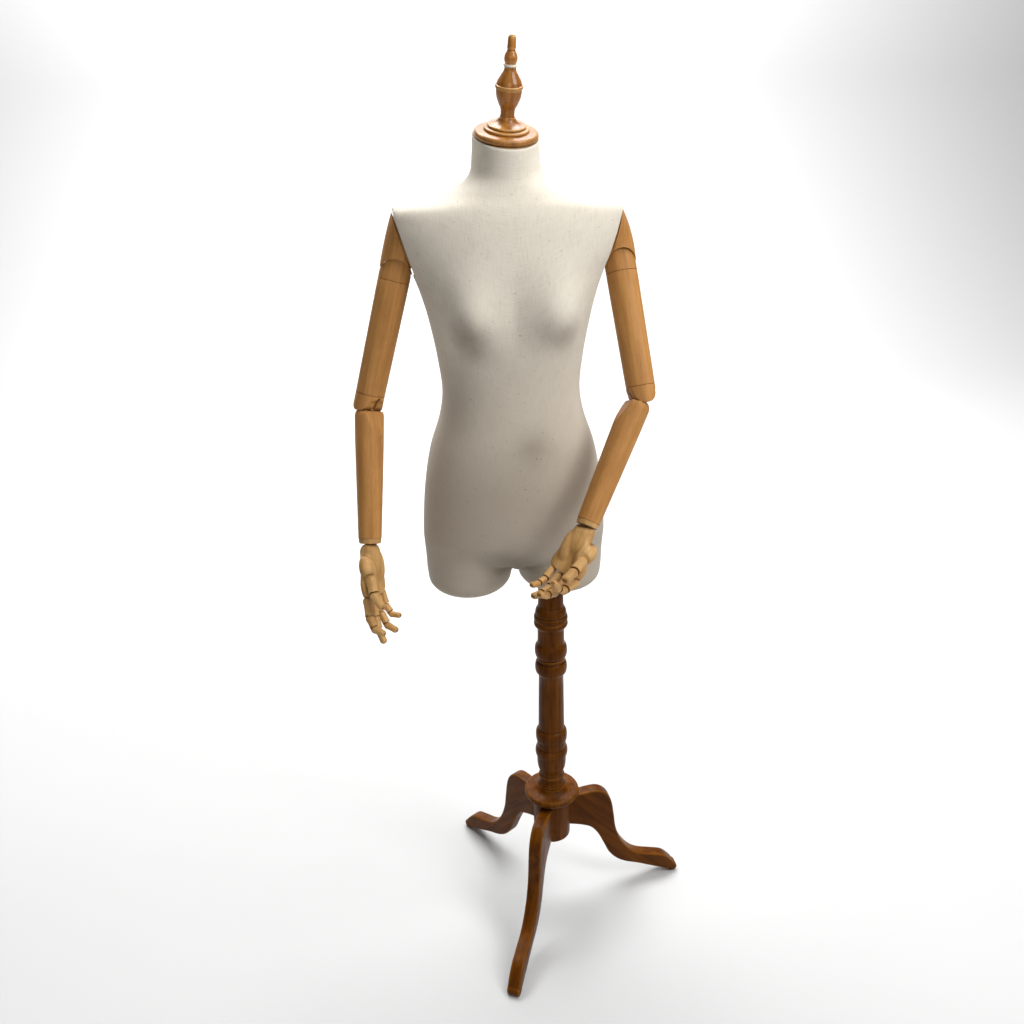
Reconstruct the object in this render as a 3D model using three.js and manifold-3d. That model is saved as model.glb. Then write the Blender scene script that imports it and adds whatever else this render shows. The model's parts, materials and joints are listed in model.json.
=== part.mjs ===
// Dress form mannequin: a linen-covered torso on a turned tripod stand, with jointed wooden arms.
// Millimetres, +Z up, front of the torso towards -Y, left arm of the form towards +X.
// Everything is laid out from the axis of the post; the last lines centre it on the floor.

import * as THREE from 'three';
import { mergeVertices } from 'three/addons/utils/BufferGeometryUtils.js';
import Module from 'manifold-3d';

const wasm = await Module();
wasm.setup();

// ---------------------------------------------------------------- driving dimensions
const gap = 0.3;                  // clearance between touching pieces

// stand
const legReach = 301;             // from the post axis to the toe
const legThickness = 27;
const legAngles = [-113.2, 6.8, 126.8];
const legTop = 271;               // highest point of a leg board
const hubRadius = 40;
const hubBottom = 172;
const hubTop = 278;
const legTenonRadius = 20;        // how near the tenon comes to the post axis
const flangeRadius = 59;
const flangeThickness = 15;
const rodRadius = 5;
const nutAcross = 20;
const nutHeight = 9;
const columnRadius = 26;          // plain part of the turned column
const spigotRadius = 12;
const spigotHeight = 118;         // part of the spigot that stands in the torso
const socketWall = 3.5;

// torso
const torsoOffset = -70;          // centre of the torso from the post axis
const thighBottom = 801;
const crotchHeight = 848;
const splitHeight = 916;          // where the body starts to part into two thighs
const neckTop = 1611;
const neckRadius = 52;
const neckTilt = 18;              // degrees, forwards
const neckLean = 3.5;             // degrees, towards the left of the form
const neckDepth = -12;            // middle of the neck at its top
const coverThickness = 1.5;
const armholeTop = 1506;
const armholeBottom = 1400;
const armholeHalfWidth = 189;     // at the top of the armhole
const armholeSlope = 0.285;       // how far the armhole leans in per unit of height
const plateThickness = 3;
const plateHalfDepth = 36;
const plateHalfHeight = 44;
const capHalfDepth = 39;
const capHalfHeight = 46;
const capRise = 5;

// neck cap and finial
const capRadius = 52.5;
const capThickness = 11;
const urnHeight = 75;
const urnRadius = 22.5;
const washerRadius = 11;
const washerThickness = 3.4;
const tipHeight = 41;

// arms
const shoulderHalfSpan = 194;     // shoulder hinge from the centre of the torso
const shoulderHeight = 1399;
const shoulderDepth = -9;
const shoulderRadius = 27;
const knuckleLength = 8;
const upperArmLength = 216;       // shoulder hinge to elbow hinge
const forearmLength = 270;        // elbow hinge to wrist hinge
const elbowRadius = 25.5;
const elbowBlockLength = 10;      // elbow hinge to the swivel face above it
const elbowRound = 20;            // half round of the elbow block about its hinge
const forearmWristRadius = 20.5;
const wristBlockLength = 9;
const wristRadius = 19.5;
const tongueWidth = 4;

// hands
const palmLength = 86;            // wrist hinge to the middle knuckle
const palmWidth = 72;
const wristRound = 16;
const fingerPitch = 17.2;
const fingerWidth = 16;
const thumbWidth = 18;

// ---------------------------------------------------------------- finishes
const finish = (color, roughness, metalness = 0) =>
  new THREE.MeshStandardMaterial({ color, roughness, metalness });
const linen = finish('#d9cfbf', 0.95);
const formBoard = finish('#b79e7c', 0.9);
const armWood = finish('#bd8d60', 0.5);
const handWood = finish('#c9a06b', 0.5);
const standWood = finish('#5c3414', 0.35);
const capWood = finish('#b27a38', 0.35);
const boneWhite = finish('#e9e4da', 0.5);
const steel = finish('#a9a9a6', 0.4, 1);

// ---------------------------------------------------------------- small helpers
const up = new THREE.Vector3(0, 0, 1);
const vec = (x, y, z) => new THREE.Vector3(x, y, z);
const radians = THREE.MathUtils.degToRad;
const lerp = THREE.MathUtils.lerp;

// A closed geometry as a manifold solid, and back.
function solid(geometry) {
  const bare = geometry.clone();
  for (const name of Object.keys(bare.attributes)) {
    if (name !== 'position') bare.deleteAttribute(name);
  }
  const merged = mergeVertices(bare, 1e-4);
  return new wasm.Manifold(new wasm.Mesh({
    numProp: 3,
    vertProperties: new Float32Array(merged.attributes.position.array),
    triVerts: new Uint32Array(merged.index.array),
  }));
}

function geometryOf(body) {
  const mesh = body.getMesh();
  const geometry = new THREE.BufferGeometry();
  geometry.setAttribute('position', new THREE.BufferAttribute(new Float32Array(mesh.vertProperties), 3));
  geometry.setIndex(new THREE.BufferAttribute(new Uint32Array(mesh.triVerts), 1));
  return geometry;
}

// A profile of [radius, height] pairs turned about Z.
function turned(profile, segments = 24) {
  const points = profile.map(([radius, height]) => new THREE.Vector2(radius, height));
  return new THREE.LatheGeometry(points, segments).rotateX(Math.PI / 2);
}

// A round bar along Z from one height to another.
function bar(radius, from, to, segments = 24) {
  return turned([[0, from], [radius, from], [radius, to], [0, to]], segments);
}

// A bar through the origin along X, Y or Z.
function crossBar(axis, radius, length, segments = 24) {
  const geometry = bar(radius, -length / 2, length / 2, segments);
  if (axis === 'x') geometry.rotateY(Math.PI / 2);
  if (axis === 'y') geometry.rotateX(Math.PI / 2);
  return geometry;
}

function box(fromX, toX, fromY, toY, fromZ, toZ) {
  return new THREE.BoxGeometry(toX - fromX, toY - fromY, toZ - fromZ)
    .translate((fromX + toX) / 2, (fromY + toY) / 2, (fromZ + toZ) / 2);
}

// A flat outline extruded along Z, half to each side, with its rim rounded off by the bevel.
function slab(shape, thickness, bevel, curveSegments = 8) {
  return new THREE.ExtrudeGeometry(shape, {
    depth: thickness - 2 * bevel,
    bevelEnabled: bevel > 0,
    bevelThickness: bevel,
    bevelSize: bevel,
    bevelOffset: -bevel,
    bevelSegments: 1,
    curveSegments,
  }).translate(0, 0, -thickness / 2 + bevel);
}

// A closed body through rings of points that all have the same count, with flat ends.
function loft(rings) {
  const count = rings[0].length;
  const positions = [];
  const index = [];
  for (const ring of rings) for (const p of ring) positions.push(p.x, p.y, p.z);
  for (let row = 0; row < rings.length - 1; row += 1) {
    for (let i = 0; i < count; i += 1) {
      const a = row * count + i;
      const b = row * count + (i + 1) % count;
      index.push(a, b, a + count, b, b + count, a + count);
    }
  }
  for (const [row, flip] of [[0, true], [rings.length - 1, false]]) {
    const centre = rings[row].reduce((sum, p) => sum.add(p), vec(0, 0, 0)).divideScalar(count);
    positions.push(centre.x, centre.y, centre.z);
    const middle = positions.length / 3 - 1;
    for (let i = 0; i < count; i += 1) {
      const a = row * count + i;
      const b = row * count + (i + 1) % count;
      index.push(...(flip ? [middle, b, a] : [middle, a, b]));
    }
  }
  const geometry = new THREE.BufferGeometry();
  geometry.setAttribute('position', new THREE.Float32BufferAttribute(positions, 3));
  geometry.setIndex(index);
  return geometry;
}

// Values between rows of a table [height, value, value, ...], eased so that the curve stays smooth.
function between(table, height) {
  let row = 0;
  while (row < table.length - 2 && height < table[row + 1][0]) row += 1;
  const rows = [row - 1, row, row + 1, row + 2].map((r) => table[Math.min(Math.max(r, 0), table.length - 1)]);
  const [before, upper, lower, after] = rows;
  const span = lower[0] - upper[0];
  const t = THREE.MathUtils.clamp((height - upper[0]) / span, 0, 1);
  return upper.slice(1).map((value, k) => {
    const next = lower[k + 1];
    const slopeIn = before === upper ? next - value : (next - before[k + 1]) / (lower[0] - before[0]) * span;
    const slopeOut = after === lower ? next - value : (after[k + 1] - value) / (after[0] - upper[0]) * span;
    const cubic = (2 * t ** 3 - 3 * t ** 2 + 1) * value + (t ** 3 - 2 * t ** 2 + t) * slopeIn;
    return cubic + (3 * t ** 2 - 2 * t ** 3) * next + (t ** 3 - t ** 2) * slopeOut;
  });
}

const object = new THREE.Group();

function add(parent, name, geometry, material) {
  const mesh = new THREE.Mesh(geometry, material);
  mesh.name = name;
  parent.add(mesh);
  return mesh;
}

// A group at a point whose local Z and X follow the given directions.
function frameAt(parent, origin, zAxis, xAxis) {
  const z = zAxis.clone().normalize();
  const x = xAxis.clone().addScaledVector(z, -xAxis.dot(z)).normalize();
  const y = z.clone().cross(x);
  const group = new THREE.Group();
  group.position.copy(origin);
  group.quaternion.setFromRotationMatrix(new THREE.Matrix4().makeBasis(x, y, z));
  parent.add(group);
  return group;
}

// ---------------------------------------------------------------- stand
// Side outline of a leg: a flat board that drops from the hub, sweeps in and runs out to a rounded toe.
function legShape() {
  const shape = new THREE.Shape();
  shape.moveTo(legTenonRadius, 200);
  shape.lineTo(hubRadius, 190);
  shape.splineThru([[64, 183], [88, 171], [105, 149], [119, 119], [132, 90], [150, 68], [173, 53], [203, 41],
    [240, 24], [274, 9]].map(([r, z]) => new THREE.Vector2(r, z)));
  shape.quadraticCurveTo(legReach - 21, 0, legReach - 16, 0);
  shape.lineTo(legReach - 6, 0);
  shape.quadraticCurveTo(legReach + 2, 3, legReach - 5, 16);
  shape.splineThru([[legReach - 16, 34], [legReach - 34, 51], [242, 60], [207, 71], [185, 86], [166, 110],
    [154, 135], [146, 162], [142, 192], [137, 226], [130, 248], [118, 263], [102, legTop],
    [78, legTop]].map(([r, z]) => new THREE.Vector2(r, z)));
  shape.lineTo(hubRadius, legTop - 5);
  shape.lineTo(legTenonRadius, legTop - 5);
  return shape;
}

function buildLegs() {
  legAngles.forEach((angle, number) => {
    const board = slab(legShape(), legThickness, 0, 2).rotateX(Math.PI / 2);
    board.rotateZ(radians(angle));
    add(object, `leg_${number + 1}`, board, standWood);
  });
}

// The block that the legs are let into, with three open slots for their tenons.
function buildHub() {
  let hub = solid(turned([[rodRadius + gap, hubBottom], [hubRadius - 3, hubBottom], [hubRadius, hubBottom + 3],
    [hubRadius, hubTop], [rodRadius + gap, hubTop], [rodRadius + gap, hubBottom]], 36));
  const half = legThickness / 2 + gap;
  for (const angle of legAngles) {
    const slot = box(legTenonRadius - gap, hubRadius + 5, -half, half, hubBottom - 5, legTop - 5 + gap);
    hub = hub.subtract(solid(slot.rotateZ(radians(angle))));
  }
  add(object, 'leg_hub', geometryOf(hub), standWood);
}

// The wide disc under the column, hollowed up to the foot of the column by a cove.
const flangeTop = hubTop + gap + flangeThickness;
function buildFlange() {
  const bottom = hubTop + gap;
  const bore = rodRadius + gap;
  add(object, 'hub_flange', turned([[bore, bottom], [flangeRadius - 6, bottom], [flangeRadius - 1, bottom + 4],
    [flangeRadius, bottom + 8], [flangeRadius - 3, bottom + 12.5], [flangeRadius - 9, flangeTop],
    [42, flangeTop + 2], [34, flangeTop + 6], [30.5, flangeTop + 10], [bore, flangeTop + 10], [bore, bottom]],
  28), standWood);
}

// One turned bead of the column: a quarter round out, a crown and a quarter round back.
function bead(middle, radius, halfHeight, root) {
  return [[root, middle - halfHeight], [lerp(root, radius, 0.75), middle - 0.7 * halfHeight],
    [radius, middle], [lerp(root, radius, 0.75), middle + 0.7 * halfHeight], [root, middle + halfHeight]];
}

const columnBottom = flangeTop + 10 + gap;
const columnTop = thighBottom - coverThickness - 2 * gap;
function buildColumn() {
  const bore = rodRadius + gap;
  const r = columnRadius;
  const profile = [[bore, columnBottom], [29, columnBottom], [30, columnBottom + 5], [26, columnBottom + 12],
    [24.5, columnBottom + 20], [27.5, columnBottom + 25], [25, columnBottom + 30], [25.5, columnBottom + 38],
    [29, columnBottom + 46], [31, columnBottom + 60],
    ...bead(393, 34, 11, 31), ...bead(434, 32.8, 14, 30.5).slice(1), [r + 1, 455], [r + 1, 470], [r, 555],
    [r - 0.5, 582], ...bead(603, 32.6, 15, 28), ...bead(642, 32.8, 16, 28), [27, 676], [27.5, 694],
    [30, 698], [34, 705], [31.2, 710], [34, 715], [33, 726], [31, 736], [27, 742],
    [25.5, 750], [25, columnTop], [bore, columnTop], [bore, columnBottom]];
  add(object, 'column', turned(profile, 18), standWood);
}

// The steel rod that draws hub, flange and column together, its nut below and the spigot above.
const spigotBottom = columnTop + gap;
function buildRod() {
  const nutTop = hubBottom - gap;
  const nutBottom = nutTop - nutHeight;
  add(object, 'tie_rod', bar(rodRadius, nutBottom - 6, spigotBottom + 30, 16), steel);
  const hole = rodRadius + gap;
  const nutHole = (rodRadius + gap) / Math.cos(Math.PI / 6);
  const corner = nutAcross / Math.sqrt(3);
  add(object, 'tie_rod_nut', turned([[nutHole, nutBottom], [corner, nutBottom], [corner, nutTop],
    [nutHole, nutTop], [nutHole, nutBottom]], 6), steel);
  const top = spigotBottom + spigotHeight;
  add(object, 'torso_spigot', turned([[hole, spigotBottom], [spigotRadius, spigotBottom],
    [spigotRadius, top - 5], [spigotRadius - 4, top], [0, top], [0, spigotBottom + 31], [hole, spigotBottom + 31],
    [hole, spigotBottom]], 20), steel);
  const inner = spigotRadius + gap;
  const outer = inner + socketWall;
  const start = thighBottom + gap;
  add(object, 'torso_socket', turned([[inner, start], [outer, start], [outer, top + 5], [0, top + 5],
    [0, top + gap], [inner, top + gap], [inner, start]], 20), steel);
}

// ---------------------------------------------------------------- torso
// height, half width, front depth, back depth, squareness of the section
const bodyTable = [
  [neckTop, neckRadius + 1, 64, 40, 2.0],
  [1580, 54.5, 62, 46, 2.0],
  [1554, 61, 62, 56, 2.0],
  [1538, 83, 66, 68, 2.0],
  [1522, 130, 73, 78, 2.0],
  [armholeTop, 203, 82, 86, 2.1],
  [1480, 204, 92, 94, 2.2],
  [1440, 186, 100, 101, 2.2],
  [1400, 163, 104, 103, 2.25],
  [1350, 146, 101, 101, 2.3],
  [1300, 135, 95, 94, 2.3],
  [1250, 127, 89, 85, 2.25],
  [1195, 122, 87, 78, 2.2],
  [1150, 129, 92, 84, 2.2],
  [1090, 149, 102, 101, 2.2],
  [1030, 161, 105, 113, 2.2],
  [970, 168, 103, 120, 2.2],
  [splitHeight, 171, 97, 115, 2.2],
  [850, 169, 88, 106, 2.2],
];
const bustHeight = 1330;
const bustSpread = 82;
const bustRise = 34;
const seatRise = 12;

// One point of the half section at a height: across runs 0..1 from the front centre round to the back centre.
function bodyPoint(height, across, grow) {
  const [width, front, back, square] = between(bodyTable, height);
  const angle = (across - 0.5) * Math.PI;
  const power = 2 / square;
  const x = (width + grow) * Math.cos(angle) ** power;
  const side = Math.sin(angle);
  const depth = (side < 0 ? -(front + grow) : back + grow) * Math.abs(side) ** power;
  const above = height > bustHeight ? 62 : 44;
  const bust = bustRise * Math.exp(-(((x - bustSpread) / 50) ** 2) - ((height - bustHeight) / above) ** 2);
  const seat = seatRise * Math.exp(-(((x - 76) / 46) ** 2) - ((height - 930) / 60) ** 2);
  const y = depth + (side < 0 ? -bust * Math.abs(side) : seat * side);
  const tilt = Math.tan(radians(neckTilt)) * THREE.MathUtils.smoothstep(height, 1530, neckTop);
  const reach = height > armholeBottom ? armholePlane(height) + grow : Infinity;
  return vec(Math.min(x, reach), y, height + tilt * (y - neckDepth));
}

// The flat, leaning face on which the arm sits.
function armholePlane(height) {
  return armholeHalfWidth - armholeSlope * (armholeTop - height);
}

// One point of a thigh ring; the ring starts and ends at its inner side, under the crotch.
function thighPoint(height, across, inset, grow) {
  const inner = between([[crotchHeight, 0], [crotchHeight - 14, 7], [thighBottom + 11, 12],
    [thighBottom, 14]], height)[0];
  const outer = between(bodyTable, Math.max(height, 850))[0] - 0.1 * Math.max(850 - height, 0);
  const middle = (inner + outer) / 2;
  const angle = (across * 2 - 1) * Math.PI;
  const front = 78 - inset + grow;
  const back = 88 - inset + grow;
  const half = (outer - inner) / 2 - inset + grow;
  const side = Math.sin(angle);
  return vec(Math.max(middle + half * Math.cos(angle), 0), (side < 0 ? front : back) * side + 8, height);
}

// A row in the part where the body splits: its ends follow the curved crotch from front and back to one point.
function splitPoint(share, across, grow) {
  const ends = Math.abs(2 * across - 1) ** 3;
  const turn = share + (share * share - share) * ends;
  const outerHeight = splitHeight - share * (splitHeight - crotchHeight - 14);
  const innerHeight = splitHeight - (1 - (1 - share) ** 2) * (splitHeight - crotchHeight + 2 * grow);
  const body = bodyPoint(outerHeight, across, grow);
  const thigh = thighPoint(crotchHeight, across, 0, grow);
  const point = body.lerp(thigh, turn);
  point.z = lerp(outerHeight, innerHeight, ends);
  if (across === 0 || across === 1) point.x = 0;
  return point;
}

// All rows of one half of the torso, from the neck down to the rounded end of the thigh.
const bodyHeights = [neckTop, 1580, 1550, 1536, 1521, 1506, 1475, 1440, 1402, 1368, 1335, 1305, 1270, 1230, 1190,
  1145, 1090, 1030, 970];
const splitShares = [0, 0.4, 0.75, 1];
const thighRows = [[thighBottom + 25, 0], [thighBottom + 9, 5], [thighBottom + 1, 14], [thighBottom, 26]];
const acrossCount = 12;

function halfRows(grow, neckExtra) {
  const shares = Array.from({ length: acrossCount + 1 }, (_, i) => i / acrossCount);
  const rows = bodyHeights.map((height) => shares.map((u) => bodyPoint(height, u, grow)));
  rows[0].forEach((point) => { point.z += neckExtra; });
  for (const share of splitShares) rows.push(shares.map((u) => splitPoint(share, u, grow)));
  for (const [height, inset] of thighRows) {
    const drop = height === thighBottom ? grow : grow * 0.5;
    rows.push(shares.map((u) => {
      const point = thighPoint(height, u, inset, grow);
      point.z -= drop;
      return point;
    }));
  }
  return rows;
}

// The top of the neck leans a little to one side.
function leaned(point) {
  point.z -= Math.tan(radians(neckLean)) * point.x * THREE.MathUtils.smoothstep(point.z, 1560, neckTop - 25);
  return point;
}

// The closed torso surface: both halves of every row, a lid on the neck and one under each thigh.
function torsoSolid(grow, neckExtra = 0) {
  const rows = halfRows(grow, neckExtra);
  const positions = [];
  const triangles = [];
  const put = (p) => positions.push(p.x, p.y, p.z) / 3 - 1;
  const quad = (a, b, c, d) => triangles.push(a, b, c, a, c, d);
  for (const mirror of [1, -1]) {
    const id = rows.map((row) => row.map((p) => put(leaned(vec(p.x * mirror, p.y, p.z)))));
    const last = rows.length - 1;
    const facing = (a, b, c, d) => (mirror > 0 ? quad(a, d, c, b) : quad(a, b, c, d));
    for (let row = 0; row < last; row += 1) {
      for (let i = 0; i < acrossCount; i += 1) {
        facing(id[row][i], id[row][i + 1], id[row + 1][i + 1], id[row + 1][i]);
      }
    }
    const fan = (row, flip) => {
      const mid = rows[row].reduce((sum, p) => sum.add(p), vec(0, 0, 0)).divideScalar(rows[row].length);
      const centre = put(leaned(flip ? vec(0, mid.y, mid.z) : vec(mid.x * mirror, mid.y, mid.z)));
      for (let i = 0; i < acrossCount; i += 1) {
        const turn = flip === (mirror > 0);
        triangles.push(centre, ...(turn ? [id[row][i], id[row][i + 1]] : [id[row][i + 1], id[row][i]]));
      }
    };
    fan(0, true);
    fan(last, false);
  }
  const geometry = new THREE.BufferGeometry();
  geometry.setAttribute('position', new THREE.Float32BufferAttribute(positions, 3));
  geometry.setIndex(triangles);
  return solid(geometry);
}

const torso = new THREE.Group();
torso.position.x = torsoOffset;
object.add(torso);

function buildTorso() {
  const postHole = (radius, top) => solid(bar(radius, thighBottom - 20, top, 24).translate(-torsoOffset, 0, 0));
  const socketTop = spigotBottom + spigotHeight + 5;
  const socketRadius = spigotRadius + socketWall + 2 * gap;
  const hollow = torsoSolid(gap, 3);
  let core = torsoSolid(0).subtract(postHole(socketRadius, socketTop + gap));
  // Under the crotch the two surfaces run close, so the form is cut back to keep half the clearance there.
  const clear = gap / 2;
  for (const side of [[0, 0, clear], [0, 0, -clear], [clear, 0, 0], [-clear, 0, 0], [0, clear, 0], [0, -clear, 0]]) {
    core = core.intersect(hollow.translate(side));
  }
  add(torso, 'torso_core', geometryOf(core), formBoard);
  const cover = torsoSolid(gap + coverThickness).subtract(hollow);
  const opened = cover.subtract(postHole(socketRadius, thighBottom + 10));
  add(torso, 'torso_cover', geometryOf(opened), linen);
}

// The oval wooden plates on which the arms turn.
const armholeLean = Math.atan(armholeSlope);
const plateMiddle = 1453;
function buildPlate(arm) {
  const shape = new THREE.Shape();
  shape.absellipse(0, 0, plateHalfHeight, plateHalfDepth, 0, 2 * Math.PI);
  const offset = gap + coverThickness + gap;
  const plate = slab(shape, plateThickness, 0, 12).translate(0, 0, plateThickness / 2 + offset);
  const group = plateFrame(arm);
  add(group, `shoulder_plate_${arm.side}`, plate, armWood);
}

// Frame on the armhole face: Z out of it, X up along it.
function plateFrame(arm) {
  const out = vec(arm.sign * Math.cos(armholeLean), 0, -Math.sin(armholeLean));
  const origin = vec(arm.sign * armholePlane(plateMiddle), shoulderDepth + 4, plateMiddle);
  return frameAt(torso, origin, out, up);
}

// ---------------------------------------------------------------- neck cap and finial
function buildFinial() {
  const axis = vec(Math.tan(radians(neckLean)), -Math.tan(radians(neckTilt)), 1);
  const group = frameAt(torso, vec(0, neckDepth, neckTop + 1.5 * gap), axis, vec(1, 0, 0));
  const top = capThickness;
  add(group, 'neck_cap', turned([[0, 0], [capRadius - 2, 0], [capRadius, 3], [capRadius, top - 3.5],
    [capRadius - 3, top], [38, top + 1], [37, top + 5], [32, top + 6], [31, top + 10], [24, top + 11.5],
    [17, top + 14], [13.5, top + 20], [0, top + 20]], 28), capWood);
  const urn = top + 20 + gap;
  add(group, 'finial_urn', turned([[0, urn], [12, urn], [11.2, urn + 4], [12, urn + 13], [16, urn + 20],
    [20, urn + 32], [21, urn + 43], [urnRadius, urn + 44.5], [urnRadius, urn + 49], [19, urn + 54],
    [14, urn + 62], [10, urn + 69], [9.2, urn + urnHeight - 2], [9.8, urn + urnHeight],
    [0, urn + urnHeight]], 20), capWood);
  const washer = urn + urnHeight + gap;
  add(group, 'finial_washer', turned([[0, washer], [washerRadius, washer], [washerRadius, washer + washerThickness],
    [0, washer + washerThickness]], 20), boneWhite);
  const tip = washer + washerThickness + gap;
  add(group, 'finial_tip', turned([[0, tip], [8.5, tip], [10, tip + 4], [10, tip + 11], [8, tip + 16], [6.2, tip + 19],
    [6.6, tip + 22], [6.6, tip + 35], [5, tip + tipHeight - 2], [2.5, tip + tipHeight], [0, tip + tipHeight]],
  16), capWood);
}

// ---------------------------------------------------------------- arms
// Each arm: how the upper arm, forearm and hand point at rest, which way the palm faces, how far each
// finger is bent (degrees at its three joints) and how the thumb lies.
const arms = [
  {
    side: 'right',
    sign: -1,
    upperArm: vec(-0.271, -0.092, -0.958),
    forearm: vec(-0.056, -0.322, -0.945),
    hand: vec(0.13, -0.22, -0.967),
    palm: vec(0.88, -0.42, 0.2),
    curls: { index: [2, 20, 42], middle: [4, 8, 8], ring: [10, 16, 34], little: [14, 20, 44] },
    thumb: { outward: 10, rise: 16, bend: 22 },
  },
  {
    side: 'left',
    sign: 1,
    upperArm: vec(0.124, -0.323, -0.938),
    forearm: vec(-0.436, -0.37, -0.821),
    hand: vec(-0.645, -0.26, -0.72),
    palm: vec(-0.494, -0.574, 0.653),
    curls: { index: [48, 34, 18], middle: [34, 26, 14], ring: [26, 20, 14], little: [26, 20, 16] },
    thumb: { outward: 8, rise: 34, bend: 8 },
  },
];

// Where the joints of an arm lie, and the axes of its hinges, worked out from its directions.
function armPlan(arm) {
  const upper = arm.upperArm.clone().normalize();
  const lower = arm.forearm.clone().normalize();
  const shoulder = vec(arm.sign * shoulderHalfSpan, shoulderDepth, shoulderHeight);
  const elbow = shoulder.clone().addScaledVector(upper, upperArmLength);
  const wrist = elbow.clone().addScaledVector(lower, forearmLength);
  const elbowAxis = upper.clone().cross(lower).normalize();
  const thumbSide = arm.palm.clone().cross(arm.hand).multiplyScalar(arm.sign);
  const wristAxis = thumbSide.addScaledVector(lower, -thumbSide.dot(lower)).normalize();
  const hand = arm.hand.clone().addScaledVector(wristAxis, -arm.hand.dot(wristAxis)).normalize();
  return { upper, lower, shoulder, elbow, wrist, elbowAxis, wristAxis, hand };
}

// The shoulder cap: a domed block, cut off by the armhole plate and hollowed for the knuckle. From the
// ring round the arm its skin swells over to an oval on the plate, each line of it an arc that starts
// along the arm.
const capFoot = [[27, 27, 0], [27.6, 29.5, 8], [28.5, 32.5, 20]];
function capRings(toHinge, offset) {
  const ring = (at) => Array.from({ length: 24 }, (_, i) => {
    const angle = i / 12 * Math.PI;
    return at(Math.cos(angle), Math.sin(angle));
  });
  const foot = capFoot.map(([halfX, halfY, z]) => ring((x, y) => vec(halfX * x, halfY * y, z)));
  const start = foot.at(-1);
  const above = ring((x, y) => vec(29.5 * x, 36 * y, 42 + 22 * x));
  const oval = ring((x, y) => vec(capRise + capHalfHeight * x, -capHalfDepth * y, offset - 2)
    .applyMatrix4(toHinge));
  const blend = (t) => start.map((p, i) => p.clone().multiplyScalar((1 - t) ** 2)
    .addScaledVector(above[i], 2 * t * (1 - t)).addScaledVector(oval[i], t * t));
  return [...foot, ...[0.2, 0.4, 0.6, 0.8, 1].map(blend)];
}

function buildShoulder(arm, plan) {
  const group = frameAt(torso, plan.shoulder, plan.upper.clone().negate(), vec(arm.sign, 0, 0));
  const plate = plateFrame(arm);
  plate.updateWorldMatrix(true, false);
  group.updateWorldMatrix(true, false);
  const toHinge = group.matrixWorld.clone().invert().multiply(plate.matrixWorld);
  const offset = coverThickness + plateThickness + 3 * gap;
  const inside = box(-200, 200, -200, 200, -200, offset).applyMatrix4(toHinge);
  const hollow = crossBar('y', shoulderRadius + gap, 90, 36);
  const open = box(-90, 90, -60, 60, -60, 8);
  const dome = solid(loft(capRings(toHinge, offset)));
  const cap = dome.subtract(solid(inside)).subtract(solid(hollow)).subtract(solid(open));
  add(group, `shoulder_cap_${arm.side}`, geometryOf(cap), armWood);
  buildKnuckle(arm, group);
}

// The knuckle under the cap: its top is a half round about the shoulder hinge, its foot a flat swivel face.
function buildKnuckle(arm, group) {
  const body = solid(bar(shoulderRadius, -knuckleLength, shoulderRadius + 5, 28));
  const round = solid(crossBar('y', shoulderRadius, 80, 36));
  const lower = solid(box(-60, 60, -60, 60, -knuckleLength - 1, 0));
  add(group, `shoulder_knuckle_${arm.side}`, geometryOf(body.intersect(round.add(lower))), armWood);
}

function buildUpperArm(arm, plan) {
  const group = frameAt(torso, plan.shoulder, plan.upper.clone().negate(), plan.elbowAxis);
  const top = -knuckleLength - gap;
  const bottom = -upperArmLength + elbowBlockLength + gap;
  const r = shoulderRadius;
  add(group, `upper_arm_${arm.side}`, turned([[0, bottom], [elbowRadius - 1, bottom], [elbowRadius, bottom + 2],
    [r - 0.4, bottom + 60], [r, top - 60], [r, top - 1.5], [r - 1, top], [0, top]], 24), armWood);
}

// The elbow block: drawn in to a half round about the hinge below, slotted for the tongue of the forearm.
function buildElbow(arm, plan) {
  const group = frameAt(torso, plan.elbow, plan.upper.clone().negate(), plan.elbowAxis);
  const r = elbowRadius;
  const side = new THREE.Shape();
  side.moveTo(-r - 1, elbowBlockLength);
  side.lineTo(-r - 1, elbowBlockLength - 3);
  side.lineTo(-elbowRound, 0);
  side.absarc(0, 0, elbowRound, Math.PI, 2 * Math.PI, false);
  side.lineTo(r + 1, elbowBlockLength - 3);
  side.lineTo(r + 1, elbowBlockLength);
  const outline = solid(slab(side, 80, 0, 18).rotateX(Math.PI / 2).rotateZ(Math.PI / 2));
  const body = solid(bar(r, -elbowRound - 5, elbowBlockLength, 24));
  const half = tongueWidth / 2 + gap;
  const slot = solid(box(-half, half, -60, 60, -60, tongueRadius + gap));
  add(group, `elbow_block_${arm.side}`, geometryOf(body.intersect(outline).subtract(slot)), armWood);
}

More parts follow.
